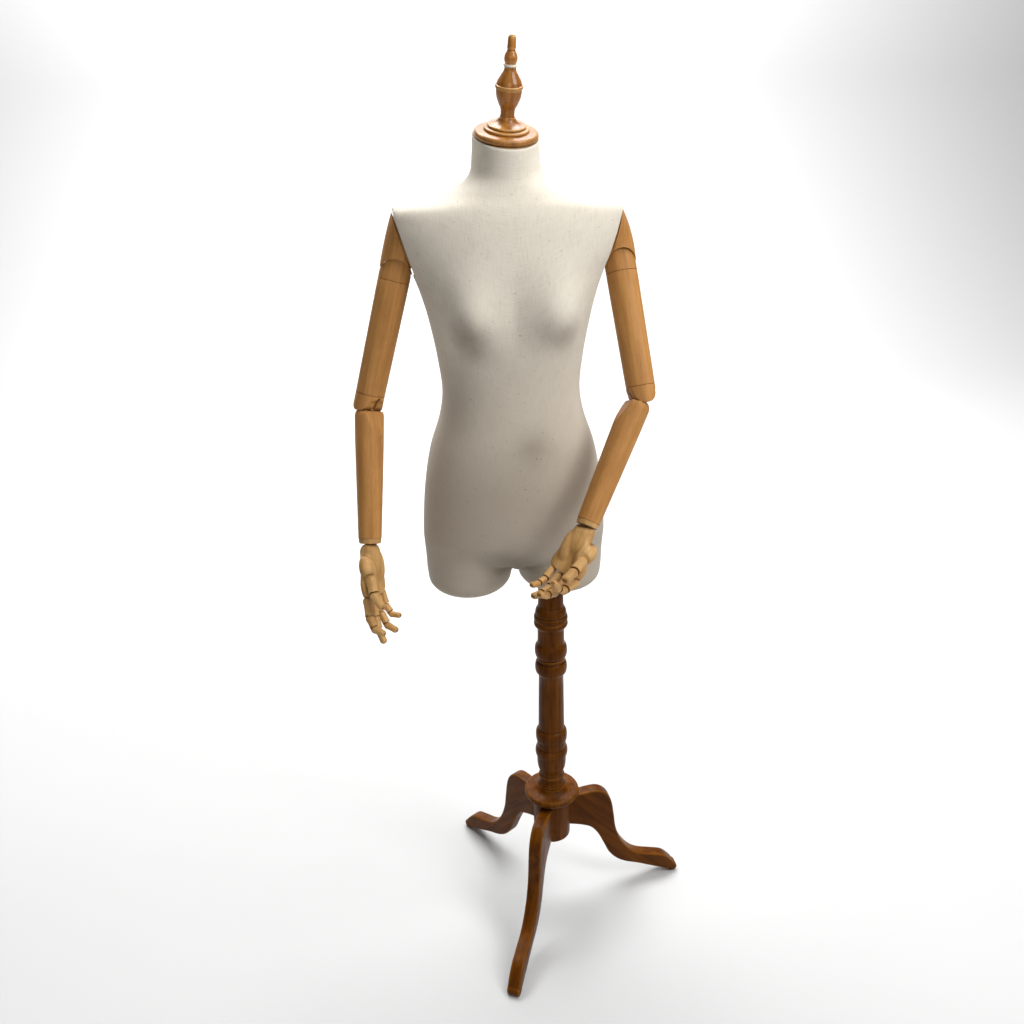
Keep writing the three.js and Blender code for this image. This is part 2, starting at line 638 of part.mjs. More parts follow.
// The forearm: tapered, rounded over and hollowed under the elbow block, flattened on the side to which
// it folds.
const tongueRadius = elbowBlockLength - 2.5;
const facetLength = 46;
const facetDepth = 11;
function buildForearm(arm, plan) {
  const group = frameAt(torso, plan.elbow, plan.lower.clone().negate(), plan.elbowAxis);
  const end = -forearmLength + wristRound + wristBlockLength + 2 * gap;
  const r = elbowRadius;
  const top = -elbowRound + 3;
  const shelf = -elbowRound - 2;
  let body = solid(turned([[0, end], [forearmWristRadius, end], [forearmWristRadius + 0.6, end + 20],
    [r - 0.5, -80], [r, -40], [r, shelf - 6], [r - 1, shelf - 2.5], [r - 3, shelf + 1.5], [r - 5.5, top],
    [0, top]], 24));
  body = body.subtract(solid(crossBar('x', elbowRound + gap, 80, 36)));
  body = body.subtract(solid(box(-60, 60, 4, 60, shelf, 30)));
  const facet = box(-60, 60, 0, 60, 0, 90).rotateX(Math.atan(facetDepth / facetLength));
  body = body.subtract(solid(facet.translate(0, r, shelf - facetLength)));
  const disc = solid(crossBar('x', tongueRadius, tongueWidth, 24));
  const half = tongueWidth / 2;
  const stem = solid(box(-half, half, -tongueRadius * 0.8, tongueRadius * 0.5, shelf - 5, 0));
  add(group, `forearm_${arm.side}`, geometryOf(body.add(disc).add(stem)), armWood);
}

// The wrist block: a short round with a tongue that reaches down to the wrist hinge.
const wristTongueWidth = 8;
const wristTongueRadius = 9;
function buildWrist(arm, plan) {
  const group = frameAt(torso, plan.wrist, plan.lower.clone().negate(), plan.wristAxis);
  const face = wristRound + gap;
  const body = solid(turned([[0, face], [wristRadius, face], [forearmWristRadius, face + wristBlockLength],
    [0, face + wristBlockLength]], 28));
  const tongue = solid(crossBar('x', wristTongueRadius, wristTongueWidth, 20));
  const half = wristTongueWidth / 2;
  const stem = solid(box(-half, half, -wristTongueRadius, wristTongueRadius, 0, face + 3));
  add(group, `wrist_block_${arm.side}`, geometryOf(body.add(tongue).add(stem)), armWood);
}

// ---------------------------------------------------------------- hands
// Hand frame: X from the wrist to the fingers, Z out of the palm. The thumb side is +Y times the arm's sign.
const fingers = [
  { name: 'index', place: 1.5, knuckle: -2, size: 1.0, lengths: [31, 21, 21] },
  { name: 'middle', place: 0.5, knuckle: 0, size: 1.0, lengths: [33, 23, 22] },
  { name: 'ring', place: -0.5, knuckle: -3, size: 0.97, lengths: [31, 22, 21] },
  { name: 'little', place: -1.5, knuckle: -10, size: 0.88, lengths: [26, 17, 18] },
];
const jointRadii = [8, 7.3, 6.6];
const thumbBase = { x: 48, y: 27, z: 11 };
const thumbRadii = [9.2, 8.2];
const thumbLengths = [30, 27];

// Side outline of a finger piece in the plane of its bending: round about its own hinge at the start,
// with a hollow end for the next piece, or a round tip.
function pieceShape(startRadius, length, endRadius, isTip) {
  const shape = new THREE.Shape();
  shape.absarc(0, 0, startRadius, Math.PI / 2, Math.PI * 1.5, false);
  if (isTip) {
    shape.absarc(length - endRadius, 0, endRadius, -Math.PI / 2, Math.PI / 2, false);
    return shape;
  }
  const hollow = endRadius + gap + 0.2;
  const back = Math.sqrt(hollow * hollow - endRadius * endRadius) + 0.8;
  shape.lineTo(length - back, -endRadius);
  shape.absarc(length, 0, hollow, -Math.PI / 2 - radians(20), Math.PI - radians(32), true);
  shape.lineTo(length - hollow - 0.5, endRadius);
  return shape;
}

function fingerPiece(startRadius, length, endRadius, width, isTip) {
  return slab(pieceShape(startRadius, length, endRadius, isTip), width, 0, 5).rotateX(Math.PI / 2);
}

// A row of pieces, each turned from the one before it by its bend.
function buildFinger(hand, name, base, radii, lengths, bends, width, tip) {
  let parent = hand;
  bends.forEach((bend, number) => {
    const frame = new THREE.Group();
    frame.position.copy(number ? vec(lengths[number - 1], 0, 0) : base);
    frame.rotation.y = -radians(bend);
    parent.add(frame);
    parent = frame;
    const isTip = number === bends.length - 1;
    const endRadius = isTip ? tip : radii[number + 1];
    add(frame, `${name}_${number + 1}`, fingerPiece(radii[number], lengths[number], endRadius,
      width * (1 - 0.08 * number), isTip), handWood);
  });
}

// The palm: a carved block, round over the wrist hinge, with a mound that carries the thumb.
function palmBody(sign, thumbMatrix) {
  // along the hand, half width, half thickness
  const sections = [[-wristRound - 2, 18, 15], [2, 18.5, 16], [18, 23, 15.5], [38, 30, 14], [62, palmWidth / 2, 11],
    [palmLength + 8, palmWidth / 2 - 1, 9]];
  const rings = sections.map(([x, halfY, halfZ]) => Array.from({ length: 16 }, (_, i) => {
    const angle = i / 8 * Math.PI;
    const squarish = (value) => Math.sign(value) * Math.abs(value) ** 0.75;
    return vec(x, halfY * squarish(Math.cos(angle)), halfZ * squarish(Math.sin(angle)));
  }));
  const wristEnd = solid(crossBar('y', wristRound, 120, 24)).add(solid(box(0, 200, -90, 90, -60, 60)));
  let body = solid(loft(rings)).intersect(wristEnd);
  const mound = turned([[0, -50], [7, -48], [12, -38], [14, -22], [12.8, -7], [10.5, 4], [0, 4]], 16)
    .rotateY(Math.PI / 2).applyMatrix4(thumbMatrix);
  body = body.add(solid(mound).intersect(wristEnd));
  const half = wristTongueWidth / 2 + gap;
  body = body.subtract(solid(box(-60, wristTongueRadius + 3, -half, half, -60, 60)));
  return body;
}

function buildHand(arm, plan) {
  const thumbSide = plan.wristAxis;
  const palmNormal = plan.hand.clone().cross(thumbSide).multiplyScalar(arm.sign);
  const hand = frameAt(torso, plan.wrist, palmNormal, plan.hand);
  const thumb = new THREE.Group();
  thumb.position.set(thumbBase.x, thumbBase.y * arm.sign, thumbBase.z);
  thumb.rotation.set(0, -radians(arm.thumb.rise), radians(arm.thumb.outward) * arm.sign, 'ZYX');
  hand.add(thumb);
  thumb.updateMatrix();
  let palm = palmBody(arm.sign, thumb.matrix);
  const carve = (matrix, radius, halfWidth) => {
    const end = solid(crossBar('y', radius + gap, 2 * halfWidth, 16).applyMatrix4(matrix));
    const front = solid(box(-2.6, 60, -halfWidth, halfWidth, -40, 40).applyMatrix4(matrix));
    const under = solid(box(-radius - 1, 60, -halfWidth, halfWidth, 3, 40).applyMatrix4(matrix));
    palm = palm.subtract(end).subtract(front).subtract(under);
  };
  for (const finger of fingers) {
    const place = vec(palmLength + finger.knuckle, finger.place * fingerPitch * arm.sign, 0);
    const halfWidth = fingerPitch / 2 + (Math.abs(finger.place) > 1 ? 2 : 0.01);
    const shift = Math.sign(finger.place) * (halfWidth - fingerPitch / 2) * arm.sign;
    carve(new THREE.Matrix4().makeTranslation(place.x, place.y + shift, 0), jointRadii[0] * finger.size, halfWidth);
    buildFinger(hand, `${arm.side}_${finger.name}`, place, jointRadii.map((r) => r * finger.size),
      finger.lengths, arm.curls[finger.name], fingerWidth * finger.size, 5.6 * finger.size);
  }
  carve(thumb.matrix, thumbRadii[0], thumbWidth / 2 + 5);
  buildFinger(thumb, `${arm.side}_thumb`, vec(0, 0, 0), thumbRadii, thumbLengths, [0, arm.thumb.bend],
    thumbWidth, 6.5);
  add(hand, `palm_${arm.side}`, geometryOf(palm), handWood);
}

// ---------------------------------------------------------------- assembly
buildLegs();
buildHub();
buildFlange();
buildColumn();
buildRod();
buildTorso();
buildFinial();
for (const arm of arms) {
  const plan = armPlan(arm);
  buildPlate(arm);
  buildShoulder(arm, plan);
  buildUpperArm(arm, plan);
  buildElbow(arm, plan);
  buildForearm(arm, plan);
  buildWrist(arm, plan);
  buildHand(arm, plan);
}

// The origin is under the middle of the whole object, on the floor.
const bounds = new THREE.Box3().setFromObject(object, true);
const middle = bounds.getCenter(new THREE.Vector3());
object.position.set(-middle.x, -middle.y, -bounds.min.z);

export default object;
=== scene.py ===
"""Dress form mannequin: a linen torso with jointed beech arms on a varnished tripod stand."""

import json
import math

import bmesh
import bpy
import numpy as np
from bpy.props import FloatProperty, FloatVectorProperty, PointerProperty
from mathutils import Matrix, Vector


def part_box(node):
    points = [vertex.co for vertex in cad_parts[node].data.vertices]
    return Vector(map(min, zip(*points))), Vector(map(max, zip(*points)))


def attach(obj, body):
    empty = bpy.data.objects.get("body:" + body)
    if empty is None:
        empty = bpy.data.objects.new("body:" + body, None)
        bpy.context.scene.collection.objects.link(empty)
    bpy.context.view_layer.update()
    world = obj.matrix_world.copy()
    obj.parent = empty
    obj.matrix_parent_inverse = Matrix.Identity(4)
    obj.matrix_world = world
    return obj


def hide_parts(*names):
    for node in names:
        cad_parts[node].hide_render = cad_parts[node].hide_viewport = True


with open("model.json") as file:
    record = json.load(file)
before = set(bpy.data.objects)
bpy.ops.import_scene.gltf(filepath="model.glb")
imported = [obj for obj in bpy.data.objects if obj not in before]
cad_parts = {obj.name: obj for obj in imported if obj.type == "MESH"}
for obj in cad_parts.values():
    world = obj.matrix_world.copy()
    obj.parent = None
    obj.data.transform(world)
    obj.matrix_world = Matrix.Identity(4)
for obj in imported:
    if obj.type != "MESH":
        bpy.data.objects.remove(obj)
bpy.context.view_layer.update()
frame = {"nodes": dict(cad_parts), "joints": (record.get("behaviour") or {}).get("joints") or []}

bl_info = {
    "name": "Dress form mannequin",
    "version": (1, 0, 0),
    "blender": (4, 5, 0),
    "location": "3D View > Sidebar > Dress form",
    "description": "Builds the surfaces and finishes of a dress form with jointed arms",
    "category": "Object",
}

MM = 0.001
WELD = 2e-6             # points closer than this are one point, in metres
SLIVER = 1e-7           # edges shorter than this are dissolved
SHORTEST_STEP = 1e-9    # square metres, keeps the bend of a point finite
FULL_BEND = 250         # bend, in one over metres, that counts as a full crest or groove
POST_HOLE = 0.0166      # radius of the hole in the left underside
SLOT_HALF = 2.3     # half the slot in the elbow block, in millimetres
TONGUE_HALF = 2.0   # half the forearm's tongue that runs in it
SIDES = {"right": -1, "left": 1}
FINGERS = ("index", "middle", "ring", "little")
JOINTS = {joint["name"]: joint for joint in frame["joints"]}
POST = np.array((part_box("tie_rod")[0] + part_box("tie_rod")[1]) / 2) * (1, 1, 0)


def linear(code):
    """Turns an sRGB hex colour into linear red, green and blue."""
    levels = [int(code[i:i + 2], 16) / 255 for i in (1, 3, 5)]
    return tuple(c / 12.92 if c <= 0.04045 else ((c + 0.055) / 1.055) ** 2.4 for c in levels)


def colour(label, words, code):
    """A colour property whose default is an sRGB hex value."""
    return FloatVectorProperty(name=label, description=words, subtype="COLOR", min=0, max=1,
                               default=linear(code))


def length(label, words, metres):
    """A length property in metres."""
    return FloatProperty(name=label, description=words, default=metres, min=0, unit="LENGTH", precision=4)


# ------------------------------------------------------------------ sizes and colours
class DressFormSizes(bpy.types.PropertyGroup):
    """Sizes of the pieces, in metres"""
    neck_top: length("Neck top", "Height of the middle of the neck's top edge", 1.611)
    armhole_top: length("Armhole top", "Height of the shoulder corner", 1.506)
    armhole_bottom: length("Armhole bottom", "Height where the flat armhole face ends", 1.400)
    armhole_half: length("Armhole half width", "Half the width across the shoulder corners", 0.189)
    split: length("Split", "Height where the body starts to part into thighs", 0.916)
    crotch: length("Crotch", "Height of the crotch", 0.848)
    thigh_bottom: length("Thigh underside", "Height of the flat underside of the thighs", 0.801)
    cover: length("Linen thickness", "Thickness of the linen cover", 0.0012)
    arm_radius: length("Arm radius", "Radius of the upper arm", 0.027)
    elbow_radius: length("Elbow radius", "Radius at the elbow", 0.0255)
    wrist_radius: length("Wrist radius", "Radius of the forearm's lower end", 0.0205)
    leg_reach: length("Leg reach", "From the post's axis to the toe", 0.301)
    leg_thickness: length("Leg thickness", "Thickness of a leg board", 0.027)
    column_radius: length("Column radius", "Radius of the plain part of the column", 0.026)


class DressFormColours(bpy.types.PropertyGroup):
    """Colours of the finishes"""
    linen: colour("Linen", "Unbleached linen where it is clean", "#ddd5c6")
    # The soiled linen colour also paints shade: it darkens the torso towards the bottom.
    linen_soil_and_shade: colour("Soiled linen", "Linen greyed by handling", "#9b8e7e")
    arm: colour("Beech", "Waxed beech of the arms", "#bc874c")
    arm_dark: colour("Beech grain", "Darker grain of the arms", "#a5733d")
    hand: colour("Hand beech", "Paler beech of the hands", "#c9a069")
    hand_dark: colour("Hand grain", "Darker grain of the hands", "#ab8049")
    stand: colour("Varnish", "Brown varnish of the stand", "#653807")
    # The darkest varnish colour also paints shade into the stand's grooves, and the worn varnish colour also
    # paints a highlight on its rounded edges.
    stand_dark_and_shade: colour("Varnish shade", "Darkest varnish of the stand", "#1e0c00")
    stand_worn_and_lit: colour("Worn varnish", "Varnish rubbed thin on the edges", "#a56a26")
    cap: colour("Finial wood", "Honey varnish of the neck cap and finial", "#b6772e")
    cap_dark: colour("Finial grain", "Darker grain of the cap", "#85511b")
    cap_worn: colour("Finial worn", "Bright edges of the cap", "#dcab66")
    washer: colour("Washer", "Bone coloured washer", "#ece7dc")
    floor: colour("Floor", "Pale studio floor", "#bababa")


def sizes():
    return bpy.context.scene.dress_form_sizes


def colours():
    return bpy.context.scene.dress_form_colours


# ------------------------------------------------------------------ mesh helpers
def grid_faces(rows, columns, first=0, closed=True):
    """Quads over a grid of points counted row by row; closed joins the last column to the first."""
    row = np.arange(rows - 1)[:, None] * columns
    column = np.arange(columns if closed else columns - 1)[None, :]
    after = (column + 1) % columns
    quads = np.stack([row + column, row + after, row + columns + after, row + columns + column], -1)
    return (quads.reshape(-1, 4) + first).tolist()


def lidded(rings):
    """A closed skin over rings of points: each ring joins the next, and each end ring gets one flat face."""
    rows, count = rings.shape[:2]
    faces = grid_faces(rows, count)
    faces.append(list(range(count))[::-1])
    faces.append([(rows - 1) * count + i for i in range(count)])
    return rings.reshape(-1, 3), faces


def placed(points, origin, x, y, z):
    """Points given in a frame of three unit axes at an origin, in the object's own frame."""
    return np.asarray(origin) + points @ np.array([x, y, z])


def unit(vector):
    return np.asarray(vector, float) / np.linalg.norm(vector)


def where(joint):
    return np.array(JOINTS[joint]["pos_m"])


def axis(joint):
    return unit(JOINTS[joint]["axis"])


def eased(table, height):
    """Rows [height, values...] read at any heights: cubic Hermite between rows, with each row's slope
    taken from its two neighbours."""
    rows = np.array(table, float)
    rows = rows[np.argsort(rows[:, 0])]
    at, values = rows[:, 0], rows[:, 1:]
    slope = np.gradient(values, axis=0)
    slope[1:-1] = (values[2:] - values[:-2]) / (at[2:] - at[:-2])[:, None]
    slope[0] = (values[1] - values[0]) / (at[1] - at[0])
    slope[-1] = (values[-1] - values[-2]) / (at[-1] - at[-2])
    height = np.asarray(height, float)
    i = np.clip(np.searchsorted(at, height) - 1, 0, len(at) - 2)
    span = at[i + 1] - at[i]
    t = np.clip((height - at[i]) / span, 0, 1)[..., None]
    span = span[..., None]
    start = (2 * t**3 - 3 * t**2 + 1) * values[i] + (t**3 - 2 * t**2 + t) * slope[i] * span
    return start + (3 * t**2 - 2 * t**3) * values[i + 1] + (t**3 - t**2) * slope[i + 1] * span


def smooth_line(points, steps):
    """A Catmull-Rom line through points, with each stretch cut into equal steps."""
    points = np.array(points, float)
    padded = np.vstack([points[0], points, points[-1]])
    t = np.linspace(0, 1, steps, endpoint=False)[:, None]
    runs = []
    for a, b, c, d in zip(padded, padded[1:], padded[2:], padded[3:]):
        runs.append(((2 * b) + (c - a) * t + (2 * a - 5 * b + 4 * c - d) * t**2
                     + (3 * b - a - 3 * c + d) * t**3) / 2)
    return np.vstack([*runs, points[-1:]])


def vectors(mesh, key):
    """Every point's place (co) or normal, as rows of three."""
    values = np.empty(len(mesh.vertices) * 3)
    mesh.vertices.foreach_get(key, values)
    return values.reshape(-1, 3)


def cad_points(name):
    """The points of a CAD node, as rows of three."""
    return np.array([v.co for v in frame["nodes"][name].data.vertices])


def in_metres(profile):
    """A profile given in millimetres, turned to metres."""
    return np.array(profile) * MM


def edge_tone(mesh):
    """How sharply each point's surroundings bend: +1 on a crest, -1 in a groove, from the mean of
    twice the step along the normal over the step's length squared."""
    at, normal = vectors(mesh, "co"), vectors(mesh, "normal")
    ends = np.empty(len(mesh.edges) * 2, int)
    mesh.edges.foreach_get("vertices", ends)
    ends = ends.reshape(-1, 2)
    total, uses = np.zeros(len(at)), np.zeros(len(at))
    for a, b in (ends.T, ends.T[::-1]):
        step = at[b] - at[a]
        bend = -2 * (normal[a] * step).sum(1) / np.maximum((step**2).sum(1), SHORTEST_STEP)
        np.add.at(total, a, bend)
        np.add.at(uses, a, 1)
    return np.clip(total / np.maximum(uses, 1) / FULL_BEND, -1, 1)


def put_attribute(mesh, name, kind, values):
    layer = mesh.attributes.new(name, kind, "POINT")
    layer.data.foreach_set("vector" if kind == "FLOAT_VECTOR" else "value", np.ravel(values))


def merged(name, points, faces, cloth=None):
    """A new object with its doubles merged and its faces outwards; cloth is each point's place on
    the cloth."""
    mesh = bpy.data.meshes.new(name)
    mesh.from_pydata(points.tolist(), [], faces)
    if cloth is not None:
        put_attribute(mesh, "weave", "FLOAT_VECTOR", cloth)
    tidy = bmesh.new()
    tidy.from_mesh(mesh)
    bmesh.ops.remove_doubles(tidy, verts=tidy.verts, dist=WELD)
    bmesh.ops.dissolve_degenerate(tidy, edges=tidy.edges, dist=SLIVER)
    bmesh.ops.recalc_face_normals(tidy, faces=tidy.faces)
    tidy.to_mesh(mesh)
    tidy.free()
    made = bpy.data.objects.new(name, mesh)
    bpy.context.scene.collection.objects.link(made)
    return made


def shaded(mesh, material, sharp):
    """Smooth shading with creases kept over an angle in degrees, and the material."""
    mesh.polygons.foreach_set("use_smooth", np.ones(len(mesh.polygons), bool))
    mesh.set_sharp_from_angle(angle=math.radians(sharp))
    mesh.materials.append(material)


def piece(name, parts, material, body, stands_for, slot, grain, sharp=38):
    """One finished object from closed skins. grain is (origin, x, y, z) with z along the wood's grain:
    every point keeps its place in that frame for the material, and how sharply it bends."""
    points, faces, first = [], [], 0
    for part_points, part_faces in parts:
        points.append(part_points)
        faces += [[i + first for i in face] for face in part_faces]
        first += len(part_points)
    made = merged(name, np.vstack(points), faces)
    finish_mesh(made, material, grain, sharp)
    hang(made, body, stands_for, slot)
    return made


def finish_mesh(made, material, grain, sharp):
    """Smooth shading with creases kept, the material, and the grain and edge attributes. Beech faces that look
    along
    the grain are painted darker: partly darker end grain, partly painted shade where one part meets the next."""
    mesh = made.data
    shaded(mesh, material, sharp)
    origin, *axes = grain
    put_attribute(mesh, "grain", "FLOAT_VECTOR", (vectors(mesh, "co") - origin) @ np.array(axes).T)
    tone = edge_tone(mesh)
    # Beech end faces along the grain get the groove value: darker end grain, and painted shade where the parts
    # meet.
    if material.name.endswith("beech"):
        ends = np.abs(vectors(mesh, "normal") @ axes[2])
        tone = np.minimum(tone, 0.2) - ((ends - 0.72) / 0.2).clip(0, 1)
    put_attribute(mesh, "edge", "FLOAT", tone)


def hang(made, body, stands_for, slot):
    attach(made, body)
    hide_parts(*stands_for)


def turned(profile, origin, x, y, z, around=72):
    """A profile of (radius, height) turned about z: point = height along z plus radius around it."""
    profile = np.asarray(profile, float)
    turn = np.linspace(0, 2 * math.pi, around, endpoint=False)
    radius = np.maximum(profile[:, :1], 1e-6)
    rings = np.stack([radius * np.cos(turn), radius * np.sin(turn),
                      np.repeat(profile[:, 1:], around, 1)], -1)
    points, faces = lidded(rings)
    return placed(points, origin, x, y, z), faces


def drum(radius, top, bottom, origin, x, y, z, rows=40, around=96):
    """A round bar whose ends are any surfaces: the wall runs from bottom(x, y) up to top(x, y) at
    radius(height), and each end is that surface shrunk towards the axis in rings. The rim is found by
    halving steps, and the rows lie closer together towards the top."""
    turn = np.linspace(0, 2 * math.pi, around, endpoint=False)
    unit_x, unit_y = np.cos(turn), np.sin(turn)
    high = top(0 * unit_x, 0 * unit_y)
    low = bottom(0 * unit_x, 0 * unit_y)
    for _ in range(30):
        high_radius, low_radius = radius(high), radius(low)
        high = (high + top(high_radius * unit_x, high_radius * unit_y)) / 2
        low = (low + bottom(low_radius * unit_x, low_radius * unit_y)) / 2
    t = np.sin(np.linspace(0, math.pi / 2, rows))[:, None]
    heights = low + (high - low) * t
    wide = radius(heights)
    wall = np.stack([wide * unit_x, wide * unit_y, heights], -1)
    shrink = np.linspace(1, 0, 22)[1:, None]
    lid_x, lid_y = shrink * wall[-1, :, 0], shrink * wall[-1, :, 1]
    upper = np.stack([lid_x, lid_y, top(lid_x, lid_y)], -1)
    base_x, base_y = shrink * wall[0, :, 0], shrink * wall[0, :, 1]
    lower = np.stack([base_x, base_y, bottom(base_x, base_y)], -1)[::-1]
    rings = np.concatenate([lower, wall, upper])
    faces = grid_faces(len(rings), around)
    return placed(rings.reshape(-1, 3), origin, x, y, z), faces


# ------------------------------------------------------------------ materials
def node(tree, kind, inputs=None, **settings):
    """Adds a node, sets its settings, and fills or links its inputs."""
    made = tree.nodes.new(kind)
    for key, value in settings.items():
        setattr(made, key, value)
    for key, value in (inputs or {}).items():
        if isinstance(value, bpy.types.NodeSocket):
            tree.links.new(value, made.inputs[key])
        else:
            made.inputs[key].default_value = value
    return made


def started(name):
    """A new material's tree, with its principled shader."""
    made = bpy.data.materials.new(name)
    made.use_nodes = True
    return made, made.node_tree, made.node_tree.nodes["Principled BSDF"]


def mixed(tree, share, first, second, blend="MIX"):
    """Two colours mixed by a share."""
    fill = [(*c, 1) if isinstance(c, tuple) else c for c in (first, second)]
    return node(tree, "ShaderNodeMix", {0: share, 6: fill[0], 7: fill[1]}, data_type="RGBA",
                blend_type=blend).outputs[2]


def wood(name, pale, dark, worn_and_lit, soil_and_shade, roughness, shine, wear_and_highlight):
    """Wood with long soft streaks, fine pores, growth lines, crests brightened as rubbed wear with a painted
    highlight, and grooves darkened as painted shade.

    The grain attribute is in metres with z along the grain, so each scale is one over a real width:
    tone 14 mm wide and 160 mm long, pores 0.9 mm wide and 14 mm long, growth lines 7 mm apart."""
    known = bpy.data.materials.get(name)
    if known:
        return known
    made, tree, shader = started(name)
    grain = node(tree, "ShaderNodeAttribute", attribute_name="grain").outputs["Vector"]
    edge = node(tree, "ShaderNodeAttribute", attribute_name="edge").outputs["Fac"]

    def stretched(width, run):
        return node(tree, "ShaderNodeMapping", {"Vector": grain,
                    "Scale": (1 / width, 1 / width, 1 / run)}).outputs["Vector"]

    tone = node(tree, "ShaderNodeTexNoise", {"Vector": stretched(14 * MM, 160 * MM), "Scale": 1.0,
                "Detail": 3.0, "Roughness": 0.6}).outputs["Fac"]
    pores = node(tree, "ShaderNodeTexNoise", {"Vector": stretched(0.9 * MM, 14 * MM), "Scale": 1.0,
                 "Detail": 2.0}).outputs["Fac"]
    lines = node(tree, "ShaderNodeTexWave", {"Vector": stretched(28 * MM, 260 * MM), "Scale": 1.0,
                 "Distortion": 5.0, "Detail": 2.0, "Detail Scale": 0.8}, bands_direction="X").outputs["Fac"]
    patch = node(tree, "ShaderNodeTexNoise", {"Vector": grain, "Scale": 11.0, "Detail": 4.0,
                 "Roughness": 0.62}).outputs["Fac"]
    streak = node(tree, "ShaderNodeMapRange", {"Value": tone, 1: 0.36, 2: 0.66}).outputs[0]
    base = mixed(tree, streak, pale, dark)
    # The last two rows paint the crests with the worn colour, as rubbed wear with a painted highlight, and the
    # grooves with the soil colour, as painted shade.
    for pattern, none, full, most, tint in ((lines, 0.55, 1.0, 0.34, dark), (pores, 0.56, 0.74, 0.4, soil_and_shade),
                                            (patch, 0.5, 0.78, 0.32, soil_and_shade), (edge, 0.25, 0.9, wear_and_highlight, worn_and_lit),
                                            (edge, -0.15, -0.8, 0.75, soil_and_shade)):
        share = node(tree, "ShaderNodeMapRange", {"Value": pattern, 1: none, 2: full, 4: most}).outputs[0]
        base = mixed(tree, share, base, tint)
    rough = node(tree, "ShaderNodeMapRange", {"Value": patch, 1: 0.3, 2: 0.7, 3: roughness - 0.07,
                 4: roughness + 0.1}).outputs[0]
    bump = node(tree, "ShaderNodeBump", {"Height": pores, "Strength": 0.12, "Distance": 0.0002}).outputs[0]
    tree.links.new(base, shader.inputs["Base Color"])
    tree.links.new(rough, shader.inputs["Roughness"])
    tree.links.new(bump, shader.inputs["Normal"])
    shader.inputs["Specular IOR Level"].default_value = shine
    return made


def arm_wood():
    """European beech, turned and waxed: warm tan with fine brown flecks and a low sheen."""
    c = colours()
    return wood("waxed_beech", tuple(c.arm), tuple(c.arm_dark), linear("#d8ad78"), linear("#7d5127"),
                0.5, 0.2, 0.35)


def hand_wood():
    """Beech carved by hand and handled a lot: paler on its crests, and darkened in its joints as painted shade.
    """
    c = colours()
    return wood("carved_beech", tuple(c.hand), tuple(c.hand_dark), linear("#e3c48d"), linear("#6b441d"),
                0.46, 0.22, 0.45)


def stand_wood():
    """Hardwood under brown spirit varnish: painted shade nearly black in the grooves, and the edges rubbed to
    tan with a painted highlight there.
    """
    c = colours()
    return wood("brown_varnished_hardwood", tuple(c.stand), linear("#472303"), tuple(c.stand_worn_and_lit),
                tuple(c.stand_dark_and_shade), 0.34, 0.07, 0.45)


def cap_wood():
    """Turned hardwood under honey varnish: golden brown with bright rims."""
    c = colours()
    return wood("honey_varnished_hardwood", tuple(c.cap), tuple(c.cap_dark), tuple(c.cap_worn),
                linear("#5a300b"), 0.3, 0.45, 0.6)


